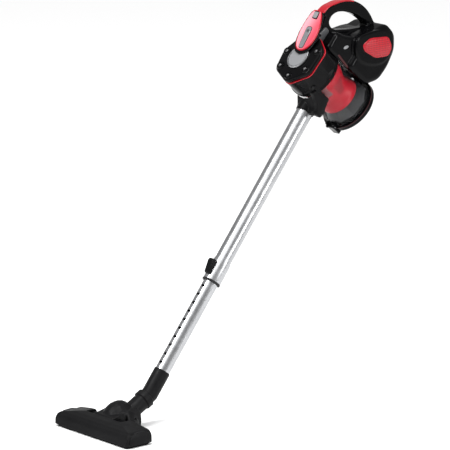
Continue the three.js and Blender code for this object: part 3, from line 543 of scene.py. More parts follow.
def finish_piece(name: str, bm: bmesh.types.BMesh, where: Matrix, finish: Finish, body: str,
                 stands_for: Iterable[str] = (), crease: float = 38.0) -> bpy.types.Object:
    """Turn a bmesh in a part's own millimetres into a finished piece.

    Args:
        name: The piece's name.
        bm: The shape, which is used up.
        where: The part's placement.
        finish: Its material.
        body: The body it rides on.
        stands_for: The CAD nodes it replaces.
        crease: The shading angle in degrees.

    Returns:
        The piece.
    """
    bmesh.ops.transform(bm, matrix=where, verts=bm.verts[:])
    bmesh.ops.recalc_face_normals(bm, faces=bm.faces[:])
    mesh = bpy.data.meshes.new(name)
    bm.to_mesh(mesh)
    bm.free()
    return settle(name, mesh, finish, body, stands_for, crease)


def evaluated(source: bpy.types.Object) -> bpy.types.Mesh:
    """Apply an object's modifiers, and remove the object.

    Args:
        source: The object.

    Returns:
        The mesh that its modifiers give.
    """
    bpy.context.view_layer.update()
    graph = bpy.context.evaluated_depsgraph_get()
    mesh = bpy.data.meshes.new_from_object(source.evaluated_get(graph))
    bpy.data.objects.remove(source)
    return mesh


def melted(mesh: bpy.types.Mesh, voxel: float, rounds: int) -> bpy.types.Mesh:
    """Join overlapping solids into one skin whose inner corners are softly filled, as moulded parts are.

    Args:
        mesh: The solids, in metres.
        voxel: The grid's pitch in millimetres.
        rounds: Rounds of smoothing.

    Returns:
        The joined skin.
    """
    blank = bpy.data.objects.new("blank", mesh)
    bpy.context.scene.collection.objects.link(blank)
    remesh = blank.modifiers.new("skin", "REMESH")
    remesh.mode = "VOXEL"
    remesh.voxel_size = voxel * MM
    smooth = blank.modifiers.new("soften", "SMOOTH")
    smooth.factor = 0.5
    smooth.iterations = rounds
    return evaluated(blank)


def node_copy(name: str) -> bpy.types.Mesh:
    """Copy a CAD node's mesh, with its doubled vertices merged.

    Args:
        name: The node.

    Returns:
        The copy.
    """
    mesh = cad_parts[name].data.copy()
    bm = bmesh.new()
    bm.from_mesh(mesh)
    bmesh.ops.remove_doubles(bm, verts=bm.verts[:], dist=2e-6)
    bmesh.ops.dissolve_limit(bm, angle_limit=math.radians(0.6), verts=bm.verts[:], edges=bm.edges[:])
    bm.to_mesh(mesh)
    bm.free()
    return mesh


def refined(name: str, finish: Finish, body: str, edge: float = 0.5, crease: float = 34.0) -> bpy.types.Object:
    """Dress a CAD node as a smooth-shaded copy with small rounded edges.

    Args:
        name: The node.
        finish: Its material.
        body: The body it rides on.
        edge: The radius of its edges in millimetres.
        crease: The angle above which an edge is rounded.

    Returns:
        The piece.
    """
    piece = settle(f"{name}_skin", node_copy(name), finish, body, [name], crease)
    bevel = piece.modifiers.new("edges", "BEVEL")
    bevel.width = edge * MM
    bevel.segments = 2
    bevel.limit_method = "ANGLE"
    bevel.angle_limit = math.radians(crease)
    bevel.harden_normals = False
    return piece


# ---------------------------------------------------------------- hand unit


def leaf_half_width(width: float, share: float) -> float:
    """Give the half width of the leaf-shaped panel at a share of its height.

    Args:
        width: The greatest half width.
        share: 0 at the tip, 1 at the top.

    Returns:
        The half width there.
    """
    side = bezier((0, 0), (0.75, 0), (1, 0.25), (1, 0.45), 24)
    side += bezier((1, 0.45), (1, 0.7), (0.6, 0.94), (0.4, 1), 24)
    side.append((0.4, 1.0))
    for (x0, t0), (x1, t1) in zip(side, side[1:]):
        if t0 <= share <= t1 and t1 > t0:
            return width * (x0 + (x1 - x0) * (share - t0) / (t1 - t0))
    return width * 0.4


@dataclass
class Panel:
    """The leaf-shaped red panel on the front leg, with its power button and lens strip."""

    half: float = 27.0
    tip: float = 13.0
    top: float = 105.0
    tilt: float = 7.0               # degrees that it leans forward
    face: float = -3.0              # its front face, before it leans
    crown: float = 120.0            # radius of its curve across
    thickness: float = 3.3
    edge: float = 0.9               # radius of its rim
    rim_width: float = 2.4          # of the red rim round the pale face, which is a painted highlight
    button: tuple = ((-6.2, 87.5), (7.2, 87.5), (7.2, 101), (-5.6, 101))
    bezel: tuple = ((-7.4, 86), (9.6, 84.5), (8.8, 103), (-6.6, 103))
    well: tuple = ((-7.2, 17.5), (7.2, 17.5), (9.2, 68), (-9.2, 68))
    lens: tuple = ((-6.2, 18.6), (6.2, 18.6), (8.1, 66.8), (-8.1, 66.8))
    mark_height: float = 57.5       # of the round mark on the lens
    mark_radii: Point = (3.6, 3.2)
    highlight_start: tuple = (-10, 60, 24)        # where the painted highlight starts
    highlight_peak: tuple = (-10, 66, -24)       # where the painted highlight is at its palest

    def front(self, x: float) -> float:
        """Give the front face's station at a place across the panel."""
        return self.face + self.crown - math.sqrt(self.crown ** 2 - x * x)

    def lean(self, bm: bmesh.types.BMesh) -> None:
        """Lean everything in a mesh forward by the panel's tilt."""
        turn = Matrix.Rotation(math.radians(self.tilt), 4, Vector((0, 0, 1)))
        bmesh.ops.transform(bm, matrix=turn, verts=bm.verts[:])

    def leaf(self, margin: float, proud: float, thickness: float) -> bmesh.types.BMesh:
        """Make a crowned leaf-shaped sheet.

        Args:
            margin: How far its edge lies inside the panel's edge.
            proud: How far its face stands in front of the panel's face.
            thickness: Its thickness.

        Returns:
            The mesh, leaning as the panel does.
        """
        bm = bmesh.new()
        bmesh.ops.create_grid(bm, x_segments=14, y_segments=48, size=1)
        for v in bm.verts:
            share = 1 - math.cos((v.co.y + 1) * math.pi / 4)
            x = v.co.x * leaf_half_width(self.half - margin, share)
            height = self.tip + margin + share * (self.top - self.tip - 2 * margin)
            v.co = Vector((self.front(x) - proud, height, x))
        bmesh.ops.remove_doubles(bm, verts=bm.verts[:], dist=0.02)
        made = bmesh.ops.extrude_face_region(bm, geom=bm.faces[:])
        back = [v for v in made["geom"] if isinstance(v, bmesh.types.BMVert)]
        bmesh.ops.translate(bm, verts=back, vec=Vector((thickness, 0, 0)))
        bmesh.ops.recalc_face_normals(bm, faces=bm.faces[:])
        rim = [e for e in bm.edges if len(e.link_faces) == 2 and e.calc_face_angle(0) > math.radians(50)]
        bmesh.ops.bevel(bm, geom=rim, offset=min(self.edge, thickness / 3), segments=3, profile=0.5,
                        affect="EDGES", material=-1, clamp_overlap=True)
        self.lean(bm)
        return bm

    def tab(self, outline: Sequence[Point], proud: float, depth: float, bevel: float) -> bmesh.types.BMesh:
        """Make a block that stands through the panel's face.

        Args:
            outline: Its (x, height) outline.
            proud: How far it stands in front of the face.
            depth: Its whole depth.
            bevel: The radius of its rims.

        Returns:
            The mesh, leaning as the panel does.
        """
        bm = bmesh.new()
        slab(bm, outline, self.face - proud, self.face - proud + depth, endways, bevel, 3)
        self.lean(bm)
        return bm

    def highlight_lacquer(self) -> Finish:
        """Give the face's lacquer, a painted highlight: paler than the rim's red, and paler still from the near
        side to the far side.

        Returns:
            The finish.
        """
        fade = ("#dc939d", HAND @ Vector(self.highlight_start), HAND @ Vector(self.highlight_peak))
        return Finish("Red lacquered ABS with painted highlight", "gloss_red_abs", "#b33a4b", "#ba4454", 0.2, coat=0.3,
                      grain=9.0, relief=0.02, specular=0.3, fade=fade)

    def build(self) -> None:
        """Build the panel, its button and its lens."""
        finish_piece("front_panel_rim", self.leaf(0, 0.0, self.thickness), HAND, GLOSS_RED, "hand_unit",
                     ["front_panel"])
        # The pale face laid over the red rim is a painted highlight.
        finish_piece("front_panel_highlight_face", self.leaf(self.rim_width, 0.35, 1.2), HAND, self.highlight_lacquer(), "hand_unit")
        finish_piece("button_frame", self.tab(rounded(self.bezel, 4), 0.75, 3, 0.5), HAND, GLOSS_BLACK,
                     "hand_unit")
        finish_piece("power_button_cap", self.tab(rounded(self.button, 3), 1.9, 8, 0.9), HAND, GREY_ABS,
                     "power_button", ["power_button"])
        finish_piece("lens_frame", self.tab(rounded(self.well, 8.5), 0.6, 2, 0.3), HAND, SATIN_BLACK,
                     "hand_unit")
        finish_piece("display_lens_strip", self.tab(rounded(self.lens, 7.6), 1.2, 2.4, 0.5), HAND, LENS_GREY,
                     "hand_unit", ["display_lens"])
        mark = bmesh.new()
        place = Matrix.Translation((self.face - 1.35, self.mark_height, 0))
        bmesh.ops.create_cone(mark, cap_ends=True, segments=28, radius1=self.mark_radii[0],
                              radius2=self.mark_radii[1], depth=0.5,
                              matrix=place @ Matrix.Rotation(-math.pi / 2, 4, "Y"))
        self.lean(mark)
        finish_piece("display_lens_mark", mark, HAND, SHADE_GREY, "hand_unit")


@dataclass
class Housing:
    """The motor housing with its looped handle, in two halves that meet in the middle."""

    block_half: float = 50.0
    saddle_half: float = 42.0
    grip_half: float = 11.5
    bulge_proud: float = 1.4        # of the bulge beyond the block's side
    half_gap: float = 0.12          # of each half from the middle
    skin_pitch: float = 1.4         # of the grid that joins the solids
    skin_rounds: int = 4
    cap_bore: float = 61.0          # radius cleared for the cap
    cap_depth: float = 18.0
    cyclone_bore: float = 57.4      # radius cleared for the collar and cup
    bore_end: float = 240.0
    loop_middle: Point = (62, 126)
    loop_rays: int = 96
    opening_share: float = 0.93     # of the opening, before the skin is softened
    leg_low: float = 5.5
    leg_step: float = 4.05
    leg_rings: int = 25
    leg_reach: float = 103.5
    leg_margin: float = 4.0         # of the bezel outside the panel
    leg_back: float = 15.0          # station of the leg's back above leg_thin
    leg_thin: float = 62.0          # height up to which the leg is only a bezel
    panel: Panel = field(default_factory=Panel)
    block: tuple = ((92, 40), (158, 40), (182, 68), (185, 104), (178, 142), (156, 168), (122, 171), (104, 140),
                    (92, 118))
    saddle: tuple = ((24, 40), (120, 40), (120, 118), (88, 112), (50, 90), (24, 84))
    opening: tuple = ((14, 96), (12, 112), (20, 127), (34, 138), (54, 148), (78, 155), (106, 157), (114, 151),
                      (80, 121), (44, 95), (28, 90))
    bulge: tuple = ((72, 98), (84, 77), (104, 66), (126, 70), (150, 83), (169, 102), (174, 136), (158, 158),
                    (126, 160), (100, 138), (78, 112))
    vent: tuple = ((92, 97), (100, 120), (141, 151), (164, 140), (168, 120), (140, 96), (104, 90))
    vent_middle: Point = (132, 120)
    grille_share: float = 0.86      # of the vent cover's outline, inside its frame
    strip: tuple = ((56, 46), (88, 41.5), (126, 41.5), (128, 45), (90, 45.5), (58, 50.5))
    web: tuple = ((9, 44), (18, 42), (31, 60), (25, 82), (13, 84), (5, 60))
    web_half: float = 17.0
    # The grey oval on each flank is a painted highlight: the reflection in an oval dimple.
    oval_place: Point = (65, 72)
    oval_turn: float = 52.0         # degrees
    oval_size: tuple = (7, 3.4, 1.1)

    @staticmethod
    def loop() -> list[Point]:
        """Give the grip's outer outline, whose front and top are three shallow curves.

        Returns:
            The outline's (u, h) points.
        """
        points = [(0, 62)]
        for start, handle, end in (((-8, 104), (-7, 120), (3, 132)), ((3, 132), (20, 159), (47, 171)),
                                   ((47, 171), (78, 184), (110, 173))):
            for k in range(10):
                t = k / 10
                points.append(tuple(Vector(start).lerp(Vector(handle), t).lerp(
                    Vector(handle).lerp(Vector(end), t), t)))
        return points + [(110, 173), (150, 158), (150, 80), (40, 62)]

    def crossing(self, outline: Sequence[Point], angle: float) -> Point:
        """Find where a ray from the opening's middle last crosses an outline.

        Args:
            outline: The closed outline.
            angle: The ray's angle.

        Returns:
            The crossing.
        """
        centre = Vector(self.loop_middle)
        ray = Vector((math.cos(angle), math.sin(angle)))
        best = 0.0
        for a, b in zip(outline, outline[1:] + outline[:1]):
            p, d = Vector(a) - centre, Vector(b) - Vector(a)
            cross = ray.x * d.y - ray.y * d.x
            if abs(cross) < 1e-9:
                continue
            along = (p.x * d.y - p.y * d.x) / cross
            part = (p.x * ray.y - p.y * ray.x) / cross
            if along > 0 and -1e-6 <= part <= 1 + 1e-6:
                best = max(best, along)
        return tuple(centre + ray * best)

    def ring(self, bm: bmesh.types.BMesh) -> None:
        """Add the grip loop: two outlines round the finger opening, bridged and thickened.

        Args:
            bm: The mesh to add to.
        """
        centre = Vector(self.loop_middle)
        hole = [tuple(centre + (Vector(p) - centre) * self.opening_share) for p in rounded(self.opening, 6)]
        loops = []
        for outline in (hole, self.loop()):
            corners = [self.crossing(outline, math.tau * i / self.loop_rays) for i in range(self.loop_rays)]
            loops.append(ringed(bm, [(a, b, -self.grip_half) for a, b in corners]))
        faces = bmesh.ops.bridge_loops(bm, edges=loops[0] + loops[1])["faces"]
        made = bmesh.ops.extrude_face_region(bm, geom=faces)
        top = [v for v in made["geom"] if isinstance(v, bmesh.types.BMVert)]
        bmesh.ops.translate(bm, verts=top, vec=Vector((0, 0, 2 * self.grip_half)))
        bmesh.ops.recalc_face_normals(bm, faces=bm.faces[:])
        rims = [e for e in bm.edges if e.calc_face_angle(0) > math.radians(60)]
        bmesh.ops.bevel(bm, geom=rims, offset=3.0, segments=4, profile=0.5, affect="EDGES", material=-1,
                        clamp_overlap=True)

    def leg(self, bm: bmesh.types.BMesh) -> None:
        """Add the front leg: the bezel behind the panel, tapering back to the grip.

        Args:
            bm: The mesh to add to, which holds nothing else.
        """
        panel = self.panel
        slope = math.tan(math.radians(panel.tilt))
        rings = []
        for i in range(self.leg_rings):
            height = self.leg_low + self.leg_step * i
            share = (height - self.leg_low) / self.leg_reach
            half = max(leaf_half_width(panel.half + self.leg_margin, share), 1.5)
            deep = height > self.leg_thin
            back = self.leg_back if deep else 2.4 + height * slope
            back_half = min(self.grip_half, half) if deep else half - 1
            front = panel.front(half) + 0.6
            corners = [(front, -half), (panel.front(0) + 1.2, 0), (front, half), (back, back_half),
                       (back, -back_half)]
            rings.append(ringed(bm, [(u, height, x) for u, x in corners]))
        lofted(bm, rings)
        panel.lean(bm)

    def shell(self) -> bpy.types.Mesh:
        """Melt the blocks, the loop and the leg into one skin, and clear the cyclone's space.

        Returns:
            The skin, in metres in the row frame.
        """
        solids = []
        for outline, half, corner, bevel in (
                (self.block, self.block_half, 12, 10), (self.saddle, self.saddle_half, 14, 7),
                (self.bulge, self.block_half + self.bulge_proud, 12, 3)):
            bm = bmesh.new()
            slab(bm, rounded(outline, corner), -half, half, sideways, bevel, 5)
            solids.append(bm)
        for add in (self.ring, self.leg):
            bm = bmesh.new()
            add(bm)
            solids.append(bm)
        joined = bmesh.new()
        for bm in solids:
            bmesh.ops.recalc_face_normals(bm, faces=bm.faces[:])
            poured(bm, joined)
        bmesh.ops.transform(joined, matrix=HAND, verts=joined.verts[:])
        mesh = bpy.data.meshes.new("housing")
        joined.to_mesh(mesh)
        joined.free()
        return self.cleared(melted(mesh, self.skin_pitch, self.skin_rounds))

    def cleared(self, mesh: bpy.types.Mesh) -> bpy.types.Mesh:
        """Cut the space of the cyclone and its cap out of the skin.

        Args:
            mesh: The skin.

        Returns:
            The cut skin.
        """
        tool = bmesh.new()
        profile = [(-0.4, 0), (-0.4, self.cap_bore), (self.cap_depth, self.cap_bore),
                   (self.cap_depth, self.cyclone_bore), (self.bore_end, self.cyclone_bore), (self.bore_end, 0)]
        turned(tool, profile, HAND_AXIS, 96)
        bmesh.ops.transform(tool, matrix=HAND, verts=tool.verts[:])
        bmesh.ops.recalc_face_normals(tool, faces=tool.faces[:])
        tool_mesh = bpy.data.meshes.new("cyclone_space")
        tool.to_mesh(tool_mesh)
        tool.free()
        cutter = bpy.data.objects.new("cyclone_space", tool_mesh)
        blank = bpy.data.objects.new("blank", mesh)
        for made in (cutter, blank):
            bpy.context.scene.collection.objects.link(made)
        bore = blank.modifiers.new("bore", "BOOLEAN")
        bore.object = cutter
        bore.operation = "DIFFERENCE"
        bore.solver = "EXACT"
        result = evaluated(blank)
        bpy.data.objects.remove(cutter)
        return result

    def halves(self) -> None:
        """Cut the skin in the middle into its left and right halves, and close each cut."""
        shell = self.shell()
        for side, name in ((1, "left"), (-1, "right")):
            bm = bmesh.new()
            bm.from_mesh(shell)
            cut = bmesh.ops.bisect_plane(bm, geom=bm.verts[:] + bm.edges[:] + bm.faces[:], dist=1e-7,
                                         plane_co=(side * self.half_gap * MM, 0, 0), plane_no=(-side, 0, 0),
                                         clear_outer=True)
            edges = [e for e in cut["geom_cut"] if isinstance(e, bmesh.types.BMEdge)]
            bmesh.ops.triangle_fill(bm, edges=edges, use_beauty=True, use_dissolve=False)
            bmesh.ops.recalc_face_normals(bm, faces=bm.faces[:])
            mesh = bpy.data.meshes.new(f"housing_{name}_skin")
            bm.to_mesh(mesh)
            bm.free()
            settle(f"housing_{name}_skin", mesh, GLOSS_BLACK, "hand_unit", [f"housing_{name}"], 46)

    def inlay(self) -> None:
        """Lay the red inlay over the front and top of the grip."""
        middle = Vector(self.loop_middle)
        outer, inner = [], []
        for p in self.loop():
            if p[1] > 100 and p[0] < 52:
                out = (Vector(p) - middle).normalized()
                outer.append(tuple(Vector(p) + out * 0.6))
                inner.append(tuple(Vector(p) - out * 3.2))
        bm = bmesh.new()
        slab(bm, outer + inner[::-1], -self.grip_half - 0.1, self.grip_half + 0.1, sideways, 1.7, 4)
        finish_piece("grip_inlay", bm, HAND, GLOSS_RED, "hand_unit")

    def vents(self) -> None:
        """Set a red frame and a domed grille on each side of the motor block."""
        middle = Vector(self.vent_middle)
        inner = [tuple(middle + (Vector(p) - middle) * self.grille_share) for p in self.vent]
        for side, name in ((1, "left"), (-1, "right")):
            bm = bmesh.new()
            slab(bm, rounded(self.vent, 9), side * (self.block_half - 2), side * (self.block_half + 2.3),
                 sideways, 0.8, 3)
            finish_piece(f"vent_cover_{name}_plate", bm, HAND, GLOSS_RED, "hand_unit", [f"vent_cover_{name}"])
            bm = bmesh.new()
            slab(bm, rounded(inner, 7), side * (self.block_half - 1), side * (self.block_half + 2.7),
                 sideways, 0.3, 2)
            finish_piece(f"vent_grille_{name}", bm, HAND, GRILLE_RED, "hand_unit")

    def trims(self) -> None:
        """Add a dark red strip and a grey oval, a painted highlight in an oval dimple, to each flank, and the
        grey web behind the leg.
        """
        for side, name in ((1, "left"), (-1, "right")):
            strip = bmesh.new()
            slab(strip, rounded(self.strip, 2), side * 38, side * (self.saddle_half + 0.7), sideways, 0.6, 2)
            finish_piece(f"flank_strip_{name}", strip, HAND, DEEP_RED, "hand_unit")
            # Grey oval: a painted highlight in the flank's oval dimple.
            oval = bmesh.new()
            place = Matrix.Translation((*self.oval_place, side * self.saddle_half))
            turn = Matrix.Rotation(math.radians(self.oval_turn), 4, "Z")
            bmesh.ops.create_uvsphere(oval, u_segments=24, v_segments=12, radius=1,
                                      matrix=place @ turn @ Matrix.Diagonal((*self.oval_size, 1)))
            finish_piece(f"flank_dimple_highlight_{name}", oval, HAND, GREY_ABS, "hand_unit")
        web = bmesh.new()
        slab(web, rounded(self.web, 3), -self.web_half, self.web_half, sideways, 1.2, 3)
        finish_piece("leg_web", web, HAND, SHADE_GREY, "hand_unit")

    def build(self) -> None:
        """Build the housing, its inlay, vents and trims, and the front panel."""
        self.halves()
        self.inlay()
        self.vents()
        self.trims()
        self.panel.build()


@dataclass
class Cyclone:
    """The cap, the collar, the clear cup with its cone, and the lid."""

    collar_end: float = 65.0
    collar_radius: float = 57.0
    cup_radius: float = 55.5
    cup_end: float = 179.7
    lid_radius: float = 60.5
    cap_reach: float = 56.5
    trim_reach: float = 57.2
    corners: tuple = ((-88, 1.06), (-31, 1.06), (27, 1.1), (74, 1.06), (121, 1.0), (168, 0.98), (216, 1.06))
    cap_start: float = 3.0
    cap_end: float = 14.2
    boss_ring: float = 42.0         # radius of the ring of bosses
    boss_station: float = 1.4
    boss: tuple = ((-1.4, 0), (-1.0, 2.6), (0.9, 3.6), (0.9, 5.4), (-1.2, 6.4), (-1.2, 7.8), (1.0, 9.4),
                   (4.0, 10.2), (8.0, 10.4), (8.0, 0))
    dome: tuple = (2.6, 4.2, 4.2)
    disc: tuple = ((0.6, 0), (0.6, 22.0), (1.4, 22.6), (1.4, 23.4), (4.2, 23.4), (4.2, 0))
    disc_rim: tuple = ((1.0, 23.6), (-0.4, 24.4), (-0.4, 25.6), (0.6, 26.5), (4.2, 26.5), (4.2, 23.6))
    trim_start: float = 14.4
    trim_end: float = 15.9
    duct: tuple = ((52, -43), (88, -37), (101, -66), (98, -81), (85, -81.5), (80, -72), (72, -63), (48, -52))
    duct_side: Point = (34, 46)     # inner and outer side of the block beside the duct
    rib_pitch: float = 3.1
    rib_width: float = 1.2
    shroud_start: float = 16.2
    shroud_rings: int = 9
    cone_outline: tuple = ((48, 49.0), (84, 48.5), (98, 44.0), (113, 37.8), (122, 36.6), (130, 38.6),
                           (137, 42.0), (142, 43.6), (149, 43.6))
    cone_wall: float = 1.8
    hole_rows: int = 8
    hole_pitch: Point = (4.5, 5.4)  # along the axis in millimetres, round the cone in degrees
    hole: tuple = (2.5, 2.5, 0.5)
    bar_counts: tuple = (9, 7)
    bar_pitch: Point = (4.3, 2.4)   # along the axis in millimetres, round the cone in degrees
    bar: tuple = (1.9, 2.6, 1.0)
    funnel_radii: Point = (34, 52)
    funnel_depth: float = 22.0
    funnel_station: float = 163.0

    @property
    def rim_start(self) -> float:
        """Give the station where the collar's ribbed rear rim starts."""
        return self.collar_end - 9

    def outline(self, reach: float) -> list[Point]:
        """Give the cap's rounded outline in (x, h).

        Args:
            reach: How far its corners are from the axis.

        Returns:
            The outline's points.
        """
        points = []
        for angle, share in self.corners:
            turn = math.radians(angle)
            points.append((share * reach * math.cos(turn), share * reach * math.sin(turn)))
        return rounded(points, 11, 9)

    def boss_centres(self) -> list[Vector]:
        """Give the middle of each boss, one behind each corner of the cap.

        Returns:
            The places in the hand unit's frame.
        """
        centres = []
        for angle, share in self.corners:
            turn = math.radians(angle)
            radius = self.boss_ring * share
            centres.append(Vector((self.boss_station, radius * math.sin(turn), radius * math.cos(turn))))
        return centres

    def cap(self) -> None:
        """Build the cap with its bosses, the grey disc and the red trim."""
        bm = bmesh.new()
        slab(bm, self.outline(self.cap_reach), self.cap_start, self.cap_end, endways, 4.5, 6)
        domes = bmesh.new()
        for centre in self.boss_centres():
            boss = bmesh.new()
            turned(boss, self.boss, HAND_AXIS, 32)
            bmesh.ops.translate(boss, verts=boss.verts[:], vec=centre)
            poured(boss, bm)
            bmesh.ops.create_uvsphere(domes, u_segments=20, v_segments=10, radius=1,
                                      matrix=Matrix.Translation(centre) @ Matrix.Diagonal((*self.dome, 1)))
        finish_piece("front_cap_face", bm, HAND, GLOSS_BLACK, "hand_unit", ["front_cap"], 50)
        finish_piece("cap_boss_domes", domes, HAND, BOSS_BLACK, "hand_unit")
        disc = bmesh.new()
        turned(disc, self.disc, HAND_AXIS)
        finish_piece("cap_disc_face", disc, HAND, GREY_ABS, "hand_unit", ["cap_disc"])
        rim = bmesh.new()
        turned(rim, self.disc_rim, HAND_AXIS)
        finish_piece("cap_disc_rim", rim, HAND, CHROME, "hand_unit")
        trim = bmesh.new()
        slab(trim, self.outline(self.trim_reach), self.trim_start, self.trim_end, endways, 0.5, 3)
        finish_piece("trim_ring_band", trim, HAND, TRIM_RED, "hand_unit", ["trim_ring"])

    def collar(self) -> None:
        """Build the collar with its duct, and the fine ribs at its rear rim."""
        mesh = melted(node_copy("cyclone_collar"), 1.25, 5)
        settle("cyclone_collar_skin", mesh, SATIN_BLACK, "hand_unit", ["cyclone_collar"], 60)
        self.shroud()
        block = bmesh.new()
        slab(block, rounded(self.duct, 4), *self.duct_side, sideways, 1.6, 3)
        finish_piece("duct_block", block, HAND, SATIN_BLACK, "hand_unit")
        ribs = bmesh.new()
        inside, outside = self.collar_radius - 1, self.collar_radius + 0.45
        for i in range(3):
            near = self.rim_start + self.rib_pitch * i
            far = near + self.rib_width
            turned(ribs, [(near, inside), (near, outside), (far, outside), (far, inside)], HAND_AXIS, 96)
        finish_piece("collar_ribs", ribs, HAND, GLOSS_BLACK, "hand_unit")

    def shroud(self) -> None:
        """Loft the collar's faceted skin from the cap's outline to the round rear rim."""
        bm = bmesh.new()
        front = self.outline(self.trim_reach - 0.5)
        rings = []
        for k in range(self.shroud_rings):
            share = k / (self.shroud_rings - 1)
            station = self.shroud_start + (self.rim_start - self.shroud_start) * share
            places = []
            for x, h in front:
                flat = Vector((x, h))
                full = flat.normalized() * (self.collar_radius + 0.2)
                a, b = flat.lerp(full, share ** 1.4)
                places.append((station, b, a))
            rings.append(ringed(bm, places))
        lofted(bm, rings)
        finish_piece("collar_shroud", bm, HAND, GLOSS_BLACK, "hand_unit", crease=24)

    def cup(self) -> None:
        """Build the clear cup and the pieces that stay on it."""
        start = self.collar_end - 7
        bm = bmesh.new()
        inside, outside = self.cup_radius - 2, self.cup_radius + 1.0
        profile = [(start, inside), (start, self.cup_radius), (self.cup_end - 6, self.cup_radius),
                   (self.cup_end - 4, outside), (self.cup_end, outside), (self.cup_end, inside)]
        turned(bm, profile, HAND_AXIS, 96)
        finish_piece("dust_cup_wall", bm, HAND, SMOKE, "dust_cup", ["dust_cup"])
        for side in ("left", "right"):
            refined(f"hinge_lug_{side}", GLOSS_BLACK, "dust_cup")
            refined(f"latch_lug_{side}", GLOSS_BLACK, "dust_cup", 0.8)
        refined("lid_hinge_pin", ZINC, "dust_cup", 0.2)
        refined("latch_pin", ZINC, "dust_cup", 0.2)
        refined("lid_latch", GLOSS_BLACK, "lid_latch", 0.9)

    def cone(self) -> None:
        """Build the red cone with its bars, a patch of dark studs painted as the shade in its holes, and the
        dark funnel below it.
        """
        inner = [(u, r - self.cone_wall) for u, r in reversed(self.cone_outline)]
        bm = bmesh.new()
        turned(bm, [*self.cone_outline, *inner], HAND_AXIS, 96)
        finish_piece("cyclone_cone_shell", bm, HAND, CONE_RED, "hand_unit", ["cyclone_cone"])
        # Each hole is a flat dark-red stud on the skin: painted shade in place of the hole's dark inside.
        dots = bmesh.new()
        for row in range(self.hole_rows):
            angle = -15.0 + (self.hole_pitch[1] / 2 if row % 2 else 0)
            while angle < 22 - 1.8 * row:
                self.on_cone(dots, 88 + self.hole_pitch[0] * row, angle, self.hole, 8)
                angle += self.hole_pitch[1]
        finish_piece("cone_hole_shade", dots, HAND, DEEP_RED, "hand_unit")
        bars = bmesh.new()
        for i in range(self.bar_counts[0]):
            for k in range(self.bar_counts[1]):
                self.on_cone(bars, 66 + self.bar_pitch[0] * i, -44 + self.bar_pitch[1] * k, self.bar, 4)
        finish_piece("cone_bars", bars, HAND, GREY_ABS, "hand_unit")
        funnel = bmesh.new()
        place = Matrix.Translation((self.funnel_station, 0, 0)) @ Matrix.Rotation(math.pi / 2, 4, "Y")
        bmesh.ops.create_cone(funnel, cap_ends=True, segments=9, radius1=self.funnel_radii[0],
                              radius2=self.funnel_radii[1], depth=self.funnel_depth, matrix=place)
        bmesh.ops.bevel(funnel, geom=funnel.edges[:], offset=1.5, segments=2, profile=0.5, affect="EDGES",
                        material=-1, clamp_overlap=True)
        finish_piece("cup_funnel", funnel, HAND, SHADE_GREY, "dust_cup", crease=20)

    def on_cone(self, bm: bmesh.types.BMesh, station: float, angle: float, size: tuple[float, float, float],
                sides: int) -> None:
        """Set a small flat stud on the cone's skin.

        Args:
            bm: The mesh to add to.
            station: The stud's station along the axis.
            angle: Its angle in degrees from the side towards the handle.
            size: Its size along the axis, round the cone and outwards.
            sides: The sides of its outline.
        """
        turn = math.radians(angle)
        out = Vector((0, math.sin(turn), math.cos(turn)))
        around = out.cross(HAND_AXIS)
        basis = Matrix((HAND_AXIS, around, out)).transposed().to_4x4()
        place = Matrix.Translation(Vector((station, 0, 0)) + out * (self.cone_radius(station) + 0.1))
        spin = Matrix.Rotation(math.pi / 4, 4, "Z") if sides == 4 else Matrix.Identity(4)
        width = math.sqrt(0.5) if sides == 4 else 0.5
        scale = Matrix.Diagonal((*size, 1))
        bmesh.ops.create_cone(bm, cap_ends=True, segments=sides, radius1=width, radius2=width, depth=1,
                              matrix=place @ basis @ scale @ spin)

    def cone_radius(self, station: float) -> float:
        """Give the cone's outer radius at a station.

        Args:
            station: The station along the axis.

        Returns:
            The radius there.
        """
        for (u0, r0), (u1, r1) in zip(self.cone_outline, self.cone_outline[1:]):
            if u0 <= station <= u1:
                return r0 + (r1 - r0) * (station - u0) / (u1 - u0)
        return self.cone_outline[-1][1]

    def lid(self) -> None:
        """Build the cup lid with its red line."""
        piece = settle("cup_lid_cover", node_copy("cup_lid"), GLOSS_BLACK, "cup_lid", ["cup_lid"], 30)
        bevel = piece.modifiers.new("edges", "BEVEL")
        bevel.width = 1.6 * MM
        bevel.segments = 3
        bevel.limit_method = "ANGLE"
        bevel.angle_limit = math.radians(30)
        line = bmesh.new()
        near, far = self.cup_end + 0.5, self.cup_end + 1.7
        inside, outside = 58.6, self.lid_radius + 0.25
        turned(line, [(near, inside), (near, outside), (far, outside), (far, inside)], HAND_AXIS, 96)
        finish_piece("lid_red_line", line, HAND, DEEP_RED, "cup_lid")

    def build(self) -> None:
        """Build every piece of the cyclone in order."""
        self.cap()
        self.collar()
        self.cup()
        self.cone()
        self.lid()


# ---------------------------------------------------------------- tube, neck and head


@dataclass
class TubeSet:
    """The telescopic tube with its latch, and the elbow and neck below it."""

    outer_edge: float = 0.3         # the radius of each piece's edges
    inner_edge: float = 0.2
    seal_edge: float = 0.6
    latch_edge: float = 1.2
    elbow_edge: float = 0.6
    neck_edge: float = 0.8

    def build(self) -> None:
        """Dress the tubes, the latch, the elbow and the neck."""
        refined("outer_tube", CHROME, "tube", self.outer_edge)
        refined("inner_tube", CHROME, "inner_tube", self.inner_edge)
        refined("seal_ring", RUBBER, "tube", self.seal_edge)
        refined("latch_button", SATIN_BLACK, "latch_slider", self.latch_edge)
        refined("elbow", MATTE_BLACK, "inner_tube", self.elbow_edge)
        refined("neck", MATTE_BLACK, "neck", self.neck_edge)
        refined("swivel_ring", MATTE_BLACK, "neck", self.neck_edge)


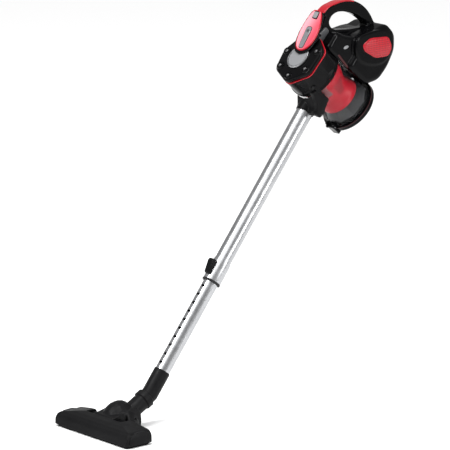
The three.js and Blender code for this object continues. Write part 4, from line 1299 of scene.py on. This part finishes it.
@dataclass
class FloorHead:
    """The floor head: casing, sole, pedal, brushes and wheels."""

    skin_pitch: float = 1.05        # of the grid that softens the casing
    skin_rounds: int = 5
    sole_edge: float = 0.4
    pedal_edge: float = 1.0
    wheel_edge: float = 0.8
    end_outline: tuple = ((-29, 8), (29, 8), (24.5, 25.5), (12, 30), (-12, 29), (-23, 22))
    end_sides: Point = (113.5, 119.6)       # inner and outer side of the panel on each end
    end_low: float = 8.0
    draft: float = 0.19             # that each end leans in by, for each millimetre up

    def build(self) -> None:
        """Dress the casing and everything under it."""
        mesh = melted(node_copy("head_cover"), self.skin_pitch, self.skin_rounds)
        settle("head_cover_skin", mesh, MATTE_BLACK, "floor_head", ["head_cover"], 70)
        self.ends()
        refined("sole_plate", SATIN_BLACK, "floor_head", self.sole_edge)
        for side in ("left", "right"):
            refined(f"pedal_{side}", SATIN_BLACK, "pedal", self.pedal_edge)
            refined(f"wheel_{side}", RUBBER, f"wheel_{side}", self.wheel_edge)

    def drafted(self, y: float, z: float, x: float) -> Vector:
        """Lay a (y, z) outline on an end of the casing, which leans inwards.

        Args:
            y: The place along y.
            z: The height.
            x: The side's place at the foot of the panel.

        Returns:
            The place in the row frame, in millimetres.
        """
        return Vector((x - (1 if x > 0 else -1) * self.draft * (z - self.end_low), y, z))

    def ends(self) -> None:
        """Set the raised panel on each end of the casing."""
        outline = rounded(self.end_outline, 7)
        near, far = self.end_sides
        for side, name in ((1, "left"), (-1, "right")):
            bm = bmesh.new()
            slab(bm, outline, side * near, side * far, self.drafted, 0.9, 3)
            finish_piece(f"head_end_{name}", bm, FLOOR, MATTE_BLACK, "floor_head")


HIDDEN_FINISHES = {
    BRISTLE: ("brush_front", "brush_rear"),
    SATIN_BLACK: ("brush_carrier", "slide_sleeve", "filter_frame", "impeller", "pivot_pin_left",
                  "pivot_pin_right"),
    FELT: ("lint_strip_left", "lint_strip_right"),
    ZINC: ("pedal_shaft", "wheel_axle_left", "wheel_axle_right", "sole_screw_left", "sole_screw_right",
           "motor_can", "cone_screen"),
    RUBBER: ("lid_seal", "motor_mount", "cord_gland"),
    FLEECE: ("pleated_filter", "exhaust_filter_left", "exhaust_filter_right"),
    COPPER: ("rotor",),
    BOARD: ("circuit_board",),
}


def dress_inner_nodes() -> None:
    """Give each CAD node whose shape is kept its material."""
    for finish, names in HIDDEN_FINISHES.items():
        for name in names:
            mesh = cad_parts[name].data
            mesh.materials.clear()
            mesh.materials.append(finish.material())


# ---------------------------------------------------------------- stage


@dataclass(frozen=True)
class SoftBox:
    """A soft box, placed by its bearing from what it lights."""

    name: str
    azimuth: float                  # degrees
    elevation: float                # degrees
    reach: float                    # metres
    size: Point                     # metres
    power: float                    # watts


@dataclass
class Studio:
    """A pale floor, soft lights and the camera."""

    azimuth: float = 49.8           # degrees
    elevation: float = 13.0         # degrees
    distance: float = 8.0           # metres
    aim: tuple = (0.0, 0.320, 0.384)
    lens: float = 314.4
    sensor: float = 36.0
    floor_size: float = 120.0       # metres
    ambient: float = 0.5
    daylight: float = 1.5
    soft_boxes: tuple = (SoftBox("key_softbox", -8, 42, 3.2, (0.5, 1.5), 70),
                         SoftBox("side_softbox", 112, 24, 3.0, (0.35, 1.8), 50),
                         SoftBox("top_softbox", 60, 78, 3.2, (1.2, 1.2), 50))

    def stand(self, thing: bpy.types.Object, azimuth: float, elevation: float, reach: float) -> None:
        """Stand a light or the camera at a bearing from the aim point, facing it, and add it to the scene.

        Args:
            thing: The light or camera.
            azimuth: Its bearing in degrees.
            elevation: Its height above the horizon in degrees.
            reach: Its distance in metres.
        """
        a, e = math.radians(azimuth), math.radians(elevation)
        back = Vector((math.sin(a) * math.cos(e), -math.cos(a) * math.cos(e), math.sin(e)))
        thing.location = Vector(self.aim) + back * reach
        thing.rotation_mode = "QUATERNION"
        thing.rotation_quaternion = (-back).to_track_quat("-Z", "Y")
        bpy.context.scene.collection.objects.link(thing)

    def floor(self) -> None:
        """Lay a wide sheet of white paper as the floor."""
        bm = bmesh.new()
        bmesh.ops.create_grid(bm, x_segments=1, y_segments=1, size=self.floor_size)
        mesh = bpy.data.meshes.new("studio_floor")
        bm.to_mesh(mesh)
        bm.free()
        paper = bpy.data.materials.new("White studio paper")
        paper.use_nodes = True
        shader = paper.node_tree.nodes["Principled BSDF"]
        shader.inputs["Base Color"].default_value = linear("#f7f7f7")
        shader.inputs["Roughness"].default_value = 0.9
        shader.inputs["Specular IOR Level"].default_value = 0.0
        mesh.materials.append(paper)
        floor = bpy.data.objects.new("studio_floor", mesh)
        bpy.context.scene.collection.objects.link(floor)

    def lights(self) -> None:
        """Add the white surround, the soft boxes and a soft sun."""
        world = bpy.data.worlds.new("studio")
        world.use_nodes = True
        background = world.node_tree.nodes["Background"]
        background.inputs["Color"].default_value = linear("#ffffff")
        background.inputs["Strength"].default_value = self.ambient
        bpy.context.scene.world = world
        for box in self.soft_boxes:
            data = bpy.data.lights.new(box.name, "AREA")
            data.shape = "RECTANGLE"
            data.size, data.size_y = box.size
            data.energy = box.power
            self.stand(bpy.data.objects.new(box.name, data), box.azimuth, box.elevation, box.reach)
        sky = bpy.data.lights.new("soft_daylight", "SUN")
        sky.energy = self.daylight
        sky.angle = math.radians(60)
        self.stand(bpy.data.objects.new("soft_daylight", sky), 20, 70, 5)

    def camera(self) -> None:
        """Set up the camera."""
        data = bpy.data.cameras.new("camera")
        data.lens = self.lens
        data.sensor_width = self.sensor
        data.clip_end = 100
        camera = bpy.data.objects.new("camera", data)
        self.stand(camera, self.azimuth, self.elevation, self.distance)
        bpy.context.scene.camera = camera
        bpy.context.scene.view_settings.view_transform = "Standard"

    def build(self) -> None:
        """Build the floor, the lights and the camera."""
        self.floor()
        self.lights()
        self.camera()


def main() -> None:
    """Build every sub-assembly in order."""
    for part in (Housing(), Cyclone(), TubeSet(), FloorHead()):
        part.build()
        log.info("%s done", type(part).__name__)
    dress_inner_nodes()
    Studio().build()


if __name__ == "__main__":
    main()
